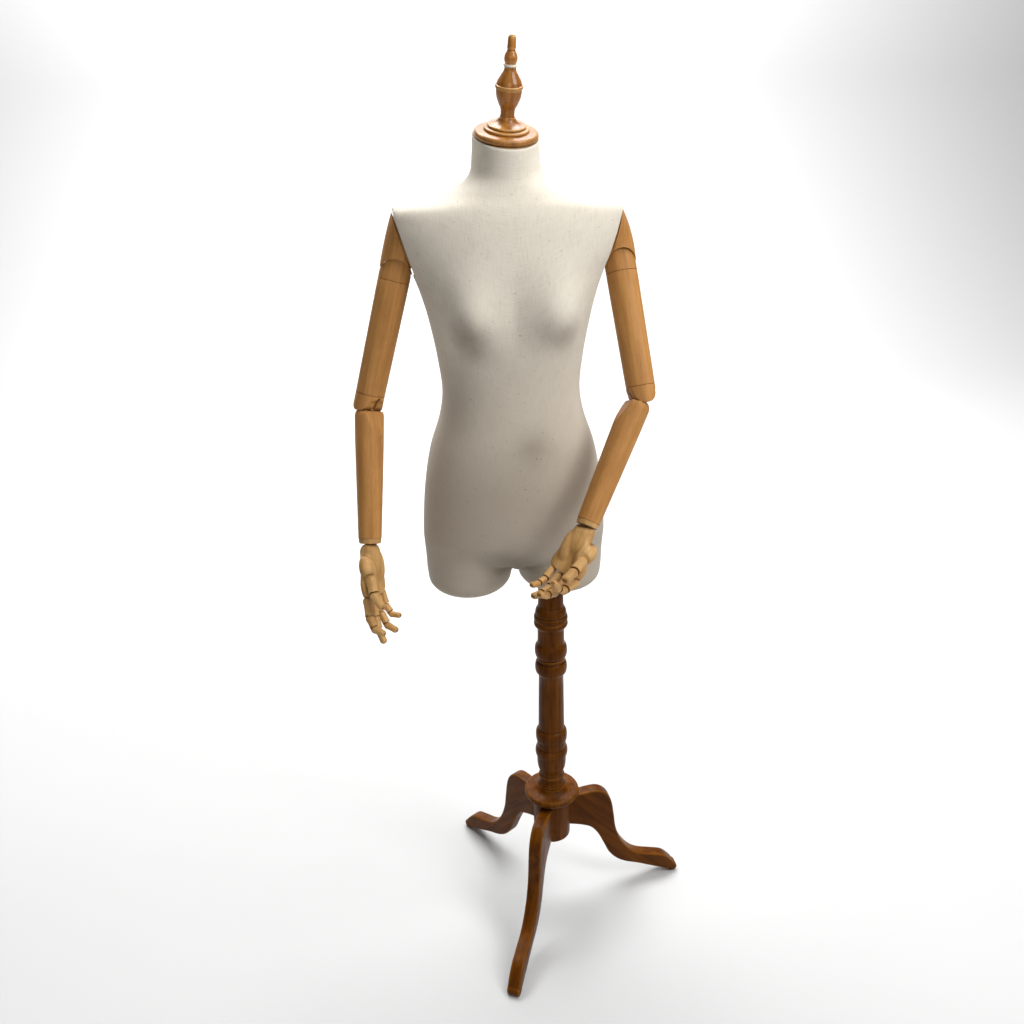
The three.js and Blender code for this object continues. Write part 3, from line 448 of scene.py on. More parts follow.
def linen_cloth():
    """Unbleached plain-weave linen, stretched: matt, uneven threads, darker low down as painted shade with some
    real soiling, a few stains and marks of painted shade.

    The weave attribute is in metres across and along the cloth. Real threads are about 0.5 mm apart;
    they are drawn 1.7 mm apart, which is as fine as shows."""
    known = bpy.data.materials.get("soiled_and_shaded_linen")
    if known:
        return known
    c = colours()
    made, tree, shader = started("soiled_and_shaded_linen")
    cloth = node(tree, "ShaderNodeAttribute", attribute_name="weave").outputs["Vector"]
    place = node(tree, "ShaderNodeTexCoord").outputs["Object"]
    thread = 1.7 * MM

    def woven(width, run):
        return node(tree, "ShaderNodeMapping", {"Vector": cloth,
                    "Scale": (1 / width, 1 / run, 1)}).outputs["Vector"]

    warp = node(tree, "ShaderNodeTexWave", {"Vector": woven(thread * math.pi, 1), "Scale": 1.0,
                "Distortion": 0.6}, bands_direction="X").outputs["Fac"]
    weft = node(tree, "ShaderNodeTexWave", {"Vector": woven(1, thread * math.pi), "Scale": 1.0,
                "Distortion": 0.6}, bands_direction="Y").outputs["Fac"]
    slub_up = node(tree, "ShaderNodeTexNoise", {"Vector": woven(1.3 * MM, 26 * MM), "Scale": 1.0,
                   "Detail": 2.0}).outputs["Fac"]
    slub_across = node(tree, "ShaderNodeTexNoise", {"Vector": woven(30 * MM, 1.3 * MM), "Scale": 1.0,
                       "Detail": 2.0}).outputs["Fac"]
    weave = node(tree, "ShaderNodeMath", {0: warp, 1: weft}, operation="MAXIMUM").outputs[0]
    slubs = node(tree, "ShaderNodeMath", {0: slub_up, 1: slub_across}, operation="ADD").outputs[0]
    cloudy = node(tree, "ShaderNodeTexNoise", {"Vector": place, "Scale": 6.5, "Detail": 5.0,
                  "Roughness": 0.6}).outputs["Fac"]
    specks = node(tree, "ShaderNodeTexNoise", {"Vector": place, "Scale": 210.0, "Detail": 1.0}).outputs["Fac"]
    height = node(tree, "ShaderNodeSeparateXYZ", {0: place}).outputs["Z"]
    s = sizes()
    # Darker towards the bottom: painted shade from the light falling from above, with some real soiling.
    low = node(tree, "ShaderNodeMapRange", {"Value": height, 1: 1.42, 2: 0.98, 3: 0.0, 4: 0.75},
               interpolation_type="SMOOTHSTEP").outputs[0]
    soil_and_shade = tuple(c.linen_soil_and_shade)
    base = mixed(tree, low, tuple(c.linen), soil_and_shade)
    for pattern, none, full, most in ((cloudy, 0.46, 0.74, 0.3), (slubs, 0.95, 1.3, 0.26),
                                      (weave, 0.75, 0.2, 0.16)):
        share = node(tree, "ShaderNodeMapRange", {"Value": pattern, 1: none, 2: full, 4: most}).outputs[0]
        base = mixed(tree, share, base, soil_and_shade)
    centre = torso_centre()
    # Four darker marks: a real stain on the lower belly, painted shade with some grime in the crotch fold, and
    # painted shade with a little dirt under each side of the bust.
    stains_and_shade_marks = [((0.028, -0.100, 1.112), 0.06, 0.45), ((0.0, -0.070, s.crotch + 0.014), 0.085, 1.0),
             ((-0.080, -0.122, 1.297), 0.07, 0.75), ((0.084, -0.122, 1.300), 0.06, 0.6)]
    for spot, reach, strength in stains_and_shade_marks:
        away = node(tree, "ShaderNodeVectorMath", {0: place, 1: tuple(centre + spot)},
                    operation="DISTANCE").outputs["Value"]
        ragged = node(tree, "ShaderNodeMath", {0: cloudy, 1: -0.07, 2: away},
                      operation="MULTIPLY_ADD").outputs[0]
        mark = node(tree, "ShaderNodeMapRange", {"Value": ragged, 1: reach - 0.035, 2: -0.045, 4: strength},
                    interpolation_type="SMOOTHSTEP").outputs[0]
        base = mixed(tree, mark, base, linear("#74685a"))
    dots = node(tree, "ShaderNodeMapRange", {"Value": specks, 1: 0.735, 2: 0.78, 4: 0.45}).outputs[0]
    base = mixed(tree, dots, base, linear("#6f6252"))
    bump = node(tree, "ShaderNodeBump", {"Height": weave, "Strength": 0.22, "Distance": 0.0003}).outputs[0]
    bump = node(tree, "ShaderNodeBump", {"Height": slubs, "Strength": 0.2, "Distance": 0.0004,
                "Normal": bump}).outputs[0]
    tree.links.new(base, shader.inputs["Base Color"])
    tree.links.new(bump, shader.inputs["Normal"])
    shader.inputs["Roughness"].default_value = 0.92
    shader.inputs["Specular IOR Level"].default_value = 0.2
    shader.inputs["Sheen Weight"].default_value = 0.12
    shader.inputs["Sheen Roughness"].default_value = 0.6
    return made


def plain_finish(name, main, other, roughness, metallic, scale, bump_height):
    """A solid-coloured finish with soft cloudy variation on object coordinates."""
    known = bpy.data.materials.get(name)
    if known:
        return known
    made, tree, shader = started(name)
    place = node(tree, "ShaderNodeTexCoord").outputs["Object"]
    cloud = node(tree, "ShaderNodeTexNoise", {"Vector": place, "Scale": scale, "Detail": 4.0}).outputs["Fac"]
    rough = node(tree, "ShaderNodeMapRange", {"Value": cloud, 1: 0.3, 2: 0.7, 3: roughness - 0.08,
                 4: roughness + 0.08}).outputs[0]
    bump = node(tree, "ShaderNodeBump", {"Height": cloud, "Strength": 0.15, "Distance": bump_height}).outputs[0]
    tree.links.new(mixed(tree, cloud, main, other), shader.inputs["Base Color"])
    tree.links.new(rough, shader.inputs["Roughness"])
    tree.links.new(bump, shader.inputs["Normal"])
    shader.inputs["Metallic"].default_value = metallic
    return made


# ------------------------------------------------------------------ torso
TORSO_OFFSET = (-0.070, 0, 0)
BUST = {"height": 1.330, "spread": 0.082, "rise": 0.034}
SEAT = {"height": 0.930, "spread": 0.076, "rise": 0.012}
THIGH = {"front": 0.078, "back": 0.088, "set_back": 0.008, "round": 0.025}
NECK = {"tilt": math.tan(math.radians(18)), "lean": math.tan(math.radians(3.5)), "depth": -0.012,
        "foot": 1.530, "stem": 1.560}
BODY = [  # height, half width, front depth, back depth, squareness of the section
    (1.611, 0.053, 0.064, 0.040, 2.0), (1.580, 0.0545, 0.062, 0.046, 2.0), (1.554, 0.061, 0.062, 0.056, 2.0),
    (1.538, 0.083, 0.066, 0.068, 2.0), (1.522, 0.130, 0.073, 0.078, 2.0), (1.506, 0.203, 0.082, 0.086, 2.1),
    (1.480, 0.204, 0.092, 0.094, 2.2), (1.440, 0.186, 0.100, 0.101, 2.2), (1.400, 0.163, 0.104, 0.103, 2.25),
    (1.350, 0.146, 0.101, 0.101, 2.3), (1.300, 0.135, 0.095, 0.094, 2.3), (1.250, 0.127, 0.089, 0.085, 2.25),
    (1.195, 0.122, 0.087, 0.078, 2.2), (1.150, 0.129, 0.092, 0.084, 2.2), (1.090, 0.149, 0.102, 0.101, 2.2),
    (1.030, 0.161, 0.105, 0.113, 2.2), (0.970, 0.168, 0.103, 0.120, 2.2), (0.916, 0.171, 0.097, 0.115, 2.2),
    (0.850, 0.169, 0.088, 0.106, 2.2)]


def torso_centre():
    return POST + TORSO_OFFSET


def body_points(height, across, grow):
    """Half a section at each height: a superellipse from the front centre round to the back centre,
    pushed out over the bust and seat, cut by the leaning armhole face and tilted at the neck."""
    s = sizes()
    wide, front, back, square = np.moveaxis(eased(BODY, height), -1, 0)
    angle = (across - 0.5) * math.pi
    side = np.sin(angle)
    x = (wide + grow) * np.cos(angle).clip(0) ** (2 / square)
    depth = np.where(side < 0, -(front + grow), back + grow) * np.abs(side) ** (2 / square)
    over = np.where(height > BUST["height"], 0.062, 0.044)
    bust = BUST["rise"] * np.exp(-((x - BUST["spread"]) / 0.050) ** 2 - ((height - BUST["height"]) / over) ** 2)
    seat = SEAT["rise"] * np.exp(-((x - SEAT["spread"]) / 0.046) ** 2
                                 - ((height - SEAT["height"]) / 0.060) ** 2)
    y = depth + np.where(side < 0, bust * side, seat * side)
    t = ((height - NECK["foot"]) / (s.neck_top - NECK["foot"])).clip(0, 1)
    rise = NECK["tilt"] * t * t * (3 - 2 * t)
    above = np.maximum(height, s.armhole_bottom)
    face = s.armhole_half - 0.285 * (s.armhole_top - above) + 0.6 * (above - height) + grow
    return np.stack([np.minimum(x, face), y, height + rise * (y - NECK["depth"])], -1)


def thigh_points(height, across, inset, grow):
    """A closed thigh section: an ellipse from the inner side round the front, outer side and back."""
    s = sizes()
    inner = eased([(s.crotch, 0), (s.crotch - 0.014, 0.007), (s.thigh_bottom + 0.011, 0.012),
                   (s.thigh_bottom, 0.014)], height)[..., 0]
    outer = eased(BODY, np.maximum(height, 0.850))[..., 0] - 0.1 * np.maximum(0.850 - height, 0)
    angle = (across * 2 - 1) * math.pi
    half = (outer - inner) / 2 - inset + grow
    side = np.sin(angle)
    depth = np.where(side < 0, THIGH["front"] - inset + grow, THIGH["back"] - inset + grow)
    x = np.maximum((inner + outer) / 2 + half * np.cos(angle), 0)
    return np.stack([x, depth * side + THIGH["set_back"], height + 0 * across], -1)


def half_torso(grow, rows=150, columns=96):
    """Rows of points down one half: the body, the stretch where it parts, the thigh and its rounded
    end. Returns the rows, and how far each point leans with the neck, from 0 to 1."""
    s = sizes()
    across = np.linspace(0, 1, columns)[None, :]
    heights = np.linspace(s.neck_top, s.split, rows)[:, None]
    body = body_points(heights + 0 * across, across + 0 * heights, grow)
    share = np.linspace(0, 1, 26)[1:, None]
    ends = np.abs(2 * across - 1) ** 3
    turn = share + (share * share - share) * ends
    outer = s.split - share * (s.split - s.crotch - 0.014) + 0 * across
    inner = s.split - (1 - (1 - share) ** 2) * (s.split - s.crotch + 2 * grow)
    parting = body_points(outer, across + 0 * outer, grow) * (1 - turn[..., None])
    parting += thigh_points(s.crotch + 0 * outer, across + 0 * outer, 0, grow) * turn[..., None]
    parting[..., 2] = outer + (inner - outer) * ends
    parting[:, [0, -1], 0] = 0
    fall = np.linspace(s.crotch, s.thigh_bottom + THIGH["round"], 9)[1:, None]
    bend = np.linspace(0, math.pi / 2, 14)[1:, None]
    low = np.concatenate([fall, s.thigh_bottom + THIGH["round"] * (1 - np.sin(bend))])
    inset = np.concatenate([0 * fall, 0.026 * (1 - np.cos(bend))])
    thigh = thigh_points(low + 0 * across, across + 0 * low, inset, grow)
    thigh[..., 2] -= grow * ((low < s.thigh_bottom + 0.024) * 0.5 + 0.5)
    skin = np.concatenate([body, parting, thigh])
    t = ((skin[..., 2] - NECK["stem"]) / (s.neck_top - 0.025 - NECK["stem"])).clip(0, 1)
    return skin, t * t * (3 - 2 * t)


def torso_skin(grow, open_neck):
    """Both halves as one skin with sewn undersides; the left one leaves a round hole for the post.
    Returns points, faces and each point's place on the cloth: the way across and the way down."""
    half, leaning = half_torso(grow)
    parts, cloth, faces, first = [], [], [], 0
    for side in (1, -1):
        rim = half[-1]
        middle = rim.mean(0)
        turn = np.arctan2(rim[:, 1] - middle[1], rim[:, 0] - middle[0])
        centre = np.array([-TORSO_OFFSET[0], 0, middle[2]]) if side > 0 else middle
        size = POST_HOLE if side > 0 else WELD / 2
        ring = centre + size * np.stack([np.cos(turn), np.sin(turn), 0 * turn], -1)
        share = np.linspace(0, 1, 9)[1:, None, None]
        underside = rim * (1 - share) + ring * share
        rows = np.concatenate([half, underside])
        lean = np.concatenate([leaning, np.zeros((8, half.shape[1]))])
        rows[..., 0] *= side
        rows[..., 2] -= NECK["lean"] * rows[..., 0] * lean
        if not open_neck:
            crown = rows[0].mean(0) * (0, 1, 1)
            lid = rows[0] + (crown - rows[0]) * np.linspace(1, 0, 6)[:-1, None, None]
            rows = np.concatenate([lid, rows])
        step = np.linalg.norm(np.diff(rows, axis=1), axis=-1)
        way = np.concatenate([np.zeros((len(rows), 1)), np.cumsum(step, 1)], 1) * side
        drop = np.linalg.norm(np.diff(rows, axis=0), axis=-1)
        down = np.concatenate([np.zeros((1, rows.shape[1])), np.cumsum(drop, 0)])
        parts.append(rows.reshape(-1, 3))
        cloth.append(np.stack([way, down, 0 * way], -1).reshape(-1, 3))
        faces += grid_faces(*rows.shape[:2], first=first, closed=False)
        first += rows.shape[0] * rows.shape[1]
    return np.vstack(parts) + torso_centre(), faces, np.vstack(cloth)


def surface_area(points, faces):
    """Area of quads, each as the two triangles that it splits into."""
    a, b, c, d = (points[np.array(faces)[:, k]] for k in range(4))
    return (np.linalg.norm(np.cross(b - a, c - a), axis=1).sum()
            + np.linalg.norm(np.cross(c - a, d - a), axis=1).sum()) / 2


def make_skin(name, points, faces, cloth, material):
    """A merged skin object facing outwards, with the cloth's own coordinates kept on its points."""
    made = merged(name, points, faces, cloth)
    shaded(made.data, material, 50)
    return made


class OBJECT_OT_dress_form_torso(bpy.types.Operator):
    """Build the linen cover and the form under it"""
    bl_idname = "dress_form.torso"
    bl_label = "Linen torso"

    def execute(self, context):
        points, faces, cloth = torso_skin(0.0018, True)
        cover = make_skin("linen_cover", points, faces, cloth, linen_cloth())
        wall = cover.modifiers.new("thickness", "SOLIDIFY")
        wall.thickness = sizes().cover
        wall.offset = -1
        hang(cover, "torso", ["torso_cover"], "linen")
        area = surface_area(points, faces)
        points, faces, cloth = torso_skin(0, False)
        board = plain_finish("pressed_paper_board", linear("#b79e7c"), linear("#9c8464"), 0.9, 0.0, 40, 0.0004)
        form = make_skin("torso_form", points, faces, cloth, board)
        hang(form, "torso", ["torso_core"], "form_board")
        return {"FINISHED"}


# ------------------------------------------------------------------ neck cap and finial
def bead(middle, radius, half, root, steps=9):
    """A half-round bead on a turned profile: radius swells from root as an ellipse's arc."""
    t = np.linspace(-1, 1, steps)
    return [(root + (radius - root) * math.sqrt(max(0, 1 - v * v)), middle + v * half) for v in t]


def rounded_rim(radius, low, high, fillet, steps=5):
    """The outer edge of a disc with both corners rounded by quarter circles."""
    t = np.linspace(0, math.pi / 2, steps)
    under = [(radius - fillet + fillet * math.sin(v), low + fillet - fillet * math.cos(v)) for v in t]
    over = [(radius - fillet + fillet * math.cos(v), high - fillet + fillet * math.sin(v)) for v in t]
    return under + over


def neck_axes():
    up = unit((NECK["lean"], -NECK["tilt"], 1))
    x = unit(np.array((1, 0, 0)) - up * up[0])
    return torso_centre() + (0, NECK["depth"], sizes().neck_top + 0.00045), x, np.cross(up, x), up


class OBJECT_OT_dress_form_finial(bpy.types.Operator):
    """Build the turned neck cap, urn, washer and tip"""
    bl_idname = "dress_form.finial"
    bl_label = "Neck cap and finial"

    def execute(self, context):
        axes = neck_axes()
        cap = [(0, 0), (50, 0), *rounded_rim(52.5, 0.4, 11, 4.6), (40, 11.6), (38.2, 12),
               *rounded_rim(37.4, 12, 16.6, 2.1), (33, 17), *rounded_rim(31.6, 17, 21, 1.8), (25, 21.6),
               (20, 23), (16.6, 25.4), (14.4, 28), (13.5, 31), (0, 31)]
        low = 31.3
        urn = [(0, low), (12, low), *[(r, low + z) for r, z in smooth_line(
            [(12, 0.6), (11.2, 4), (12, 13), (15.6, 20), (19.6, 31), (20.8, 42.6)], 5)],
            *rounded_rim(22.5, low + 43.4, low + 49, 2.2),
            *[(r, low + z) for r, z in smooth_line([(20, 50.2), (18.4, 55), (14, 62), (10.4, 68),
              (9.2, 72), (9.8, 75)], 5)], (0, low + 75)]
        low = 106.6
        disc = [(0, low), *rounded_rim(11, low, low + 3.4, 1.1), (0, low + 3.4)]
        bone = plain_finish("turned_bone", tuple(colours().washer), linear("#cfc4ad"), 0.45, 0.0, 120, 0.0001)
        low = 110.3
        tip = [(0, low), (8.5, low), *[(r, low + z) for r, z in smooth_line(
            [(9.2, 1), (10.2, 5), (10, 11), (7.8, 16), (6.2, 19), (6.8, 22.4), (6.5, 27), (6.4, 34),
             (5.2, 38.6), (2.8, 40.7)], 5)], (0, low + 41)]
        for name, profile in (("neck_cap", cap), ("finial_urn", urn), ("finial_washer", disc),
                              ("finial_tip", tip)):
            material, slot = (bone, "bone_white") if profile is disc else (cap_wood(), "cap_wood")
            piece(name, [turned(in_metres(profile), *axes)], material, "torso", [name], slot, axes)
        return {"FINISHED"}


# ------------------------------------------------------------------ arms
def arm_axes(side):
    """Frame of the upper arm: z up along it, x and y across, with y along the shoulder hinge."""
    sign = SIDES[side]
    z = axis(f"{side}_upper_arm_turn") * sign
    y = -axis(f"{side}_shoulder_lift")
    y = unit(y - z * (y @ z))
    return where(f"{side}_shoulder_lift"), np.cross(y, z), y, z


def elbow_axes(side, z):
    """Frame at the elbow with x along its hinge and z as given."""
    x = axis(f"{side}_elbow_bend")
    x = unit(x - z * (x @ z))
    return where(f"{side}_elbow_bend"), x, np.cross(z, x), z


def forearm_axes(side):
    return elbow_axes(side, axis(f"{side}_wrist_turn") * SIDES[side])


def hand_axes(side):
    """Frame at the wrist: x along the hand, y along the wrist hinge, z out of the palm."""
    origin = where(f"{side}_wrist_bend")
    y = -axis(f"{side}_wrist_bend")
    reach = where(f"{side}_middle_knuckle") - origin
    x = unit(reach - y * (reach @ y))
    return origin, x, y, np.cross(x, y)


def finger_axes(side, finger, joint, node_name, following):
    """Frame at a finger joint: y along its hinge, x towards the next joint or the far end of the piece."""
    name = f"{side}_{finger}_{joint}"
    origin = where(name)
    y = -axis(name)
    if following:
        reach = where(following) - origin
        reach = reach - y * (reach @ y)
    else:
        at = cad_points(node_name) - origin
        at = at - np.outer(at @ y, y)
        reach = at[np.argmax((at**2).sum(1))]
    x = unit(reach)
    return origin, x, y, np.cross(x, y)


def along_z(axes):
    """The same frame with its x along the grain, for pieces that run along x."""
    origin, x, y, z = axes
    return origin, y, z, x


class OBJECT_OT_dress_form_shoulders(bpy.types.Operator):
    """Build the armhole plates, shoulder caps and knuckles"""
    bl_idname = "dress_form.shoulders"
    bl_label = "Shoulders"

    def execute(self, context):
        for side in SIDES:
            self.plate(side)
            self.cap(side)
            self.knuckle(side)
        return {"FINISHED"}

    def plate_axes(self, side):
        sign = SIDES[side]
        z = -axis(f"{side}_shoulder_turn") * sign
        x = unit(np.array((0, 0, 1)) - z * z[2])
        return where(f"{side}_shoulder_turn"), x, np.cross(z, x), z

    def plate(self, side):
        """An oval disc: rings of an ellipse, with its rim rounded by half a millimetre."""
        axes = self.plate_axes(side)
        turn = np.linspace(0, 2 * math.pi, 96, endpoint=False)
        rings = [np.stack([44 * share * np.cos(turn), 36 * share * np.sin(turn), lift + 0 * turn], -1)
                 for share, lift in ((0, 2.1), (0.985, 2.1), (1, 2.6), (1, 4.6), (0.985, 5.1), (0, 5.1))]
        points, faces = lidded(np.array(rings) * MM)
        piece(f"armhole_plate_{side}", [(placed(points, *axes), faces)], arm_wood(), "torso",
              [f"shoulder_plate_{side}"], "arm_wood", axes)

    def cap(self, side):
        """A dome from a ring round the arm to an oval on the plate: each line of it is a quadratic arc
        that starts along the arm. Its lower edge follows the round of the knuckle, and its inner side
        is slid outwards along x to lie flat on the plate."""
        axes = arm_axes(side)
        origin, *basis = axes
        plate = self.plate_axes(side)
        turn = np.linspace(0, 2 * math.pi, 120, endpoint=False)
        cos, sin = np.cos(turn), np.sin(turn)
        round_radius, least = 27.3, 8.0     # of the hollow over the knuckle
        edge = np.sqrt(np.maximum(round_radius**2 - (round_radius * cos) ** 2, least**2))
        foot_table = [(0, 27, 27), (8, 27.6, 29.5), (20, 28.5, 32.5), (30, 29, 34.5)]
        foot = []
        for share in np.linspace(0, 1, 24):
            height = np.minimum(edge, 20 + 10 * np.abs(sin)) + (20 - np.minimum(edge, 20)) * share
            height = np.maximum(height, edge) if share else edge
            wide, deep = np.moveaxis(eased(foot_table, height), -1, 0)
            foot.append(np.stack([wide * cos, deep * sin, height], -1))
        start = foot[-1]
        above = np.stack([29.5 * cos, 36 * sin, np.maximum(42 + 22 * cos, start[:, 2] + 3)], -1)
        oval = np.stack([5 + 46 * cos, -39 * sin, 5.4 + 0 * turn], -1) * MM
        oval = (placed(oval, *plate) - origin) @ np.array(basis).T / MM
        t = np.linspace(0, 1, 40)[1:, None, None]
        dome = start * (1 - t) ** 2 + above * 2 * t * (1 - t) + oval * t * t
        lid = oval.mean(0) + (oval - oval.mean(0)) * np.linspace(1, 0, 12)[1:, None, None]
        shrink = np.linspace(0, 1, 14)[:-1, None]
        inner_x, inner_y = shrink * foot[0][:, 0], shrink * foot[0][:, 1]
        hollow = np.sqrt(np.maximum(round_radius**2 - inner_x**2, least**2))
        under = np.stack([inner_x, inner_y, hollow], -1)
        rings = np.concatenate([under, foot, dome, lid]) * MM
        points = placed(rings.reshape(-1, 3), *axes)
        depth = (points - plate[0]) @ plate[3] - 5.4 * MM
        points -= np.outer(np.minimum(depth, 0) / (basis[0] @ plate[3]), basis[0])
        faces = grid_faces(len(rings), rings.shape[1])
        piece(f"shoulder_cap_{side}", [(points, faces)], arm_wood(), f"{side}_shoulder_cap",
              [f"shoulder_cap_{side}"], "arm_wood", axes, sharp=40)

    def knuckle(self, side):
        """A round bar whose top is a half round about the shoulder hinge."""
        axes = arm_axes(side)
        r = sizes().arm_radius
        solid = drum(lambda z: r + 0 * z, lambda x, y: np.sqrt(np.maximum(r * r - x * x, 0)) + 0 * y,
                     lambda x, y: -0.008 + 0 * x, *axes, rows=24)
        piece(f"shoulder_knuckle_{side}", [solid], arm_wood(), f"{side}_shoulder_knuckle",
              [f"shoulder_knuckle_{side}"], "arm_wood", axes)


class OBJECT_OT_dress_form_upper_arms(bpy.types.Operator):
    """Build the turned upper arms and the blocks of the elbows"""
    bl_idname = "dress_form.upper_arms"
    bl_label = "Upper arms and elbows"

    def execute(self, context):
        for side in SIDES:
            self.arm(side)
            self.block(side)
        return {"FINISHED"}

    def arm(self, side):
        """A turned bar that narrows a little to the elbow, with small rounded rims."""
        axes = arm_axes(side)
        s = sizes()
        reach = np.linalg.norm(where(f"{side}_elbow_bend") - axes[0])
        top, low = -8.3 * MM, -reach + 10.3 * MM
        profile = [(0, low), (s.elbow_radius - 1.2 * MM, low), (s.elbow_radius - 0.3 * MM, low + 0.5 * MM),
                   (s.elbow_radius, low + 1.6 * MM), *[(s.elbow_radius + (s.arm_radius - s.elbow_radius) * t,
                    low + 2 * MM + (top - low) * 0.9 * t) for t in np.linspace(0, 1, 12)],
                   (s.arm_radius, top - 1.6 * MM), (s.arm_radius - 0.3 * MM, top - 0.5 * MM),
                   (s.arm_radius - 1.2 * MM, top), (0, top)]
        piece(f"upper_arm_{side}", [turned(profile, *axes)], arm_wood(), f"{side}_upper_arm",
              [f"upper_arm_{side}"], "arm_wood", axes)

    def block(self, side):
        """A loft along the hinge: each section is as deep as the round bar there, flat on top and drawn
        in below to a half round; the middle sections stop at the ceiling of the tongue's slot."""
        axes = elbow_axes(side, arm_axes(side)[3])
        r, neck, top, half = sizes().elbow_radius / MM, 20.0, 10.0, SLOT_HALF
        place = r * np.sin(np.linspace(-math.pi / 2, math.pi / 2, 46))
        place = np.sort(np.concatenate([place[np.abs(place) > half + 0.3], np.linspace(-half, half, 5),
                                        [-half - 1e-3, half + 1e-3]]))
        depth = np.sqrt(np.maximum(r * r - place * place, 0.02))[:, None]
        s = np.linspace(-1, 1, 33)[None, :]
        y = depth * s
        drawn = np.where(np.abs(y) < neck, -np.sqrt(np.maximum(neck**2 - y * y, 0)),
                         (np.abs(y) - neck) * 7 / (r + 1 - neck))
        in_slot = np.abs(place)[:, None] <= half
        lower = np.where(in_slot, 7.8, np.minimum(drawn, top - 1))
        x = place[:, None] + 0 * s
        under = np.stack([x, y, lower], -1)
        over = np.stack([x, y, top + 0 * y], -1)[:, ::-1]
        points, faces = lidded(np.concatenate([under, over], 1) * MM)
        piece(f"elbow_block_{side}", [(placed(points, *axes), faces)], arm_wood(), f"{side}_elbow_block",
              [f"elbow_block_{side}"], "arm_wood", axes)


class OBJECT_OT_dress_form_forearms(bpy.types.Operator):
    """Build the forearms with their hollowed, chamfered tops, and the wrist blocks"""
    bl_idname = "dress_form.forearms"
    bl_label = "Forearms and wrists"

    def execute(self, context):
        for side in SIDES:
            self.forearm(side)
            self.wrist(side)
        return {"FINISHED"}

    def forearm(self, side):
        """A round bar with a shaped top: the lowest of a flat, the hollow under the elbow's half round,
        a shelf in front of it and a long chamfer that slopes down the front."""
        axes = forearm_axes(side)
        s = sizes()
        r = s.elbow_radius
        reach = np.linalg.norm(where(f"{side}_wrist_bend") - axes[0])
        low = -reach + 25.6 * MM
        bar = [(low, s.wrist_radius), (low + 0.02, s.wrist_radius + 0.0006), (-0.080, r - 0.0005),
               (-0.040, r), (-0.029, r), (-0.0245, r - 0.0009), (-0.0205, r - 0.0028), (-0.017, r - 0.0056)]
        peak, shelf, run, cut, neck = -0.017, -0.022, 0.046, 0.011, 0.0203

        def top(x, y):
            hollow = np.where(np.abs(y) < neck, -np.sqrt(np.maximum(neck**2 - y * y, 0)), 0.0)
            front = np.where(y > 0.004, shelf, peak)
            chamfer = shelf - run + (r - y) * run / cut
            return np.minimum(np.minimum(hollow, front), chamfer) + 0 * x

        solid = drum(lambda z: eased(bar, z)[..., 0], top, lambda x, y: low + 0 * x, *axes, rows=70, around=144)
        turn = np.linspace(0, 2 * math.pi, 40, endpoint=False)
        disc = np.stack([0 * turn, 7.5 * np.cos(turn), 7.5 * np.sin(turn)], -1)
        stem = disc.copy()
        stem[:, 2] = np.where(stem[:, 2] < 0, stem[:, 2] - 18, stem[:, 2])
        rings = np.array([stem + (x, 0, 0) for x in (-TONGUE_HALF, TONGUE_HALF)]) * MM
        points, faces = lidded(rings)
        piece(f"forearm_{side}", [solid, (placed(points, *axes), faces)], arm_wood(), f"{side}_forearm",
              [f"forearm_{side}"], "arm_wood", axes, sharp=11)

    def wrist(self, side):
        """A short turned ring between the forearm and the palm."""
        origin, x, y, z = forearm_axes(side)
        axes = (where(f"{side}_wrist_bend"), x, y, z)
        s = sizes()
        low, high = 16.3 * MM, 25.3 * MM
        profile = [(0, low), (s.wrist_radius - 2.4 * MM, low), (s.wrist_radius - 1.2 * MM, low + 1.2 * MM),
                   (s.wrist_radius - 0.4 * MM, high - 0.8 * MM), (s.wrist_radius - 0.9 * MM, high), (0, high)]
        piece(f"wrist_block_{side}", [turned(profile, *axes)], hand_wood(), f"{side}_wrist_block",
              [f"wrist_block_{side}"], "arm_wood", axes)


# ------------------------------------------------------------------ hands
def superellipse(turn, power):
    """Cosine and sine of a turn raised to a power, so that a power under 1 squares the curve off."""
    cos, sin = np.cos(turn), np.sin(turn)
    return np.sign(cos) * np.abs(cos) ** power, np.sign(sin) * np.abs(sin) ** power


def finger_skin(width, start, run, end, is_tip):
    """A finger piece in millimetres along x: a round start about its hinge, a slightly waisted shaft,
    and either a domed tip or a hollow end that takes the next piece's round start."""
    turn = np.linspace(0, 2 * math.pi, 40, endpoint=False)
    side, depth = superellipse(turn, 0.78)
    bend = np.linspace(-math.pi / 2, 0, 10)
    near = np.stack([start * np.sin(bend), np.cos(bend) ** 0.45, start * np.cos(bend)], -1)
    stop = run - (end if is_tip else end + 1.2)
    t = np.linspace(0, 1, 12)[1:]
    waist = 1 - 0.07 * np.sin(math.pi * t)
    shaft = np.stack([stop * t, waist, (start + (end - start) * t) * waist], -1)
    rows = [near, shaft]
    if is_tip:
        bend = np.linspace(0, math.pi / 2, 10)[1:]
        rows.append(np.stack([run - end + end * np.sin(bend), np.cos(bend) ** 0.8, end * np.cos(bend)], -1))
    profile = np.concatenate(rows)
    rings = np.stack([profile[:, :1] + 0 * turn, profile[:, 1:2] * width / 2 * side,
                      np.maximum(profile[:, 2:], 0.01) * depth], -1)
    if is_tip:
        return lidded(rings)
    hollow = end + 0.5
    shrink = np.linspace(1, 0, 9)[:, None]
    y, z = shrink * rings[-1, :, 1], shrink * rings[-1, :, 2]
    cup = run - np.sqrt(np.maximum(hollow**2 - z * z, (0.3 * hollow) ** 2))
    cup = np.where(z > 0.5 * hollow, run - hollow * 0.87 - (z - 0.5 * hollow) * 0.25, cup)
    return lidded(np.concatenate([rings[:-1], np.stack([cup, y, z], -1)]))


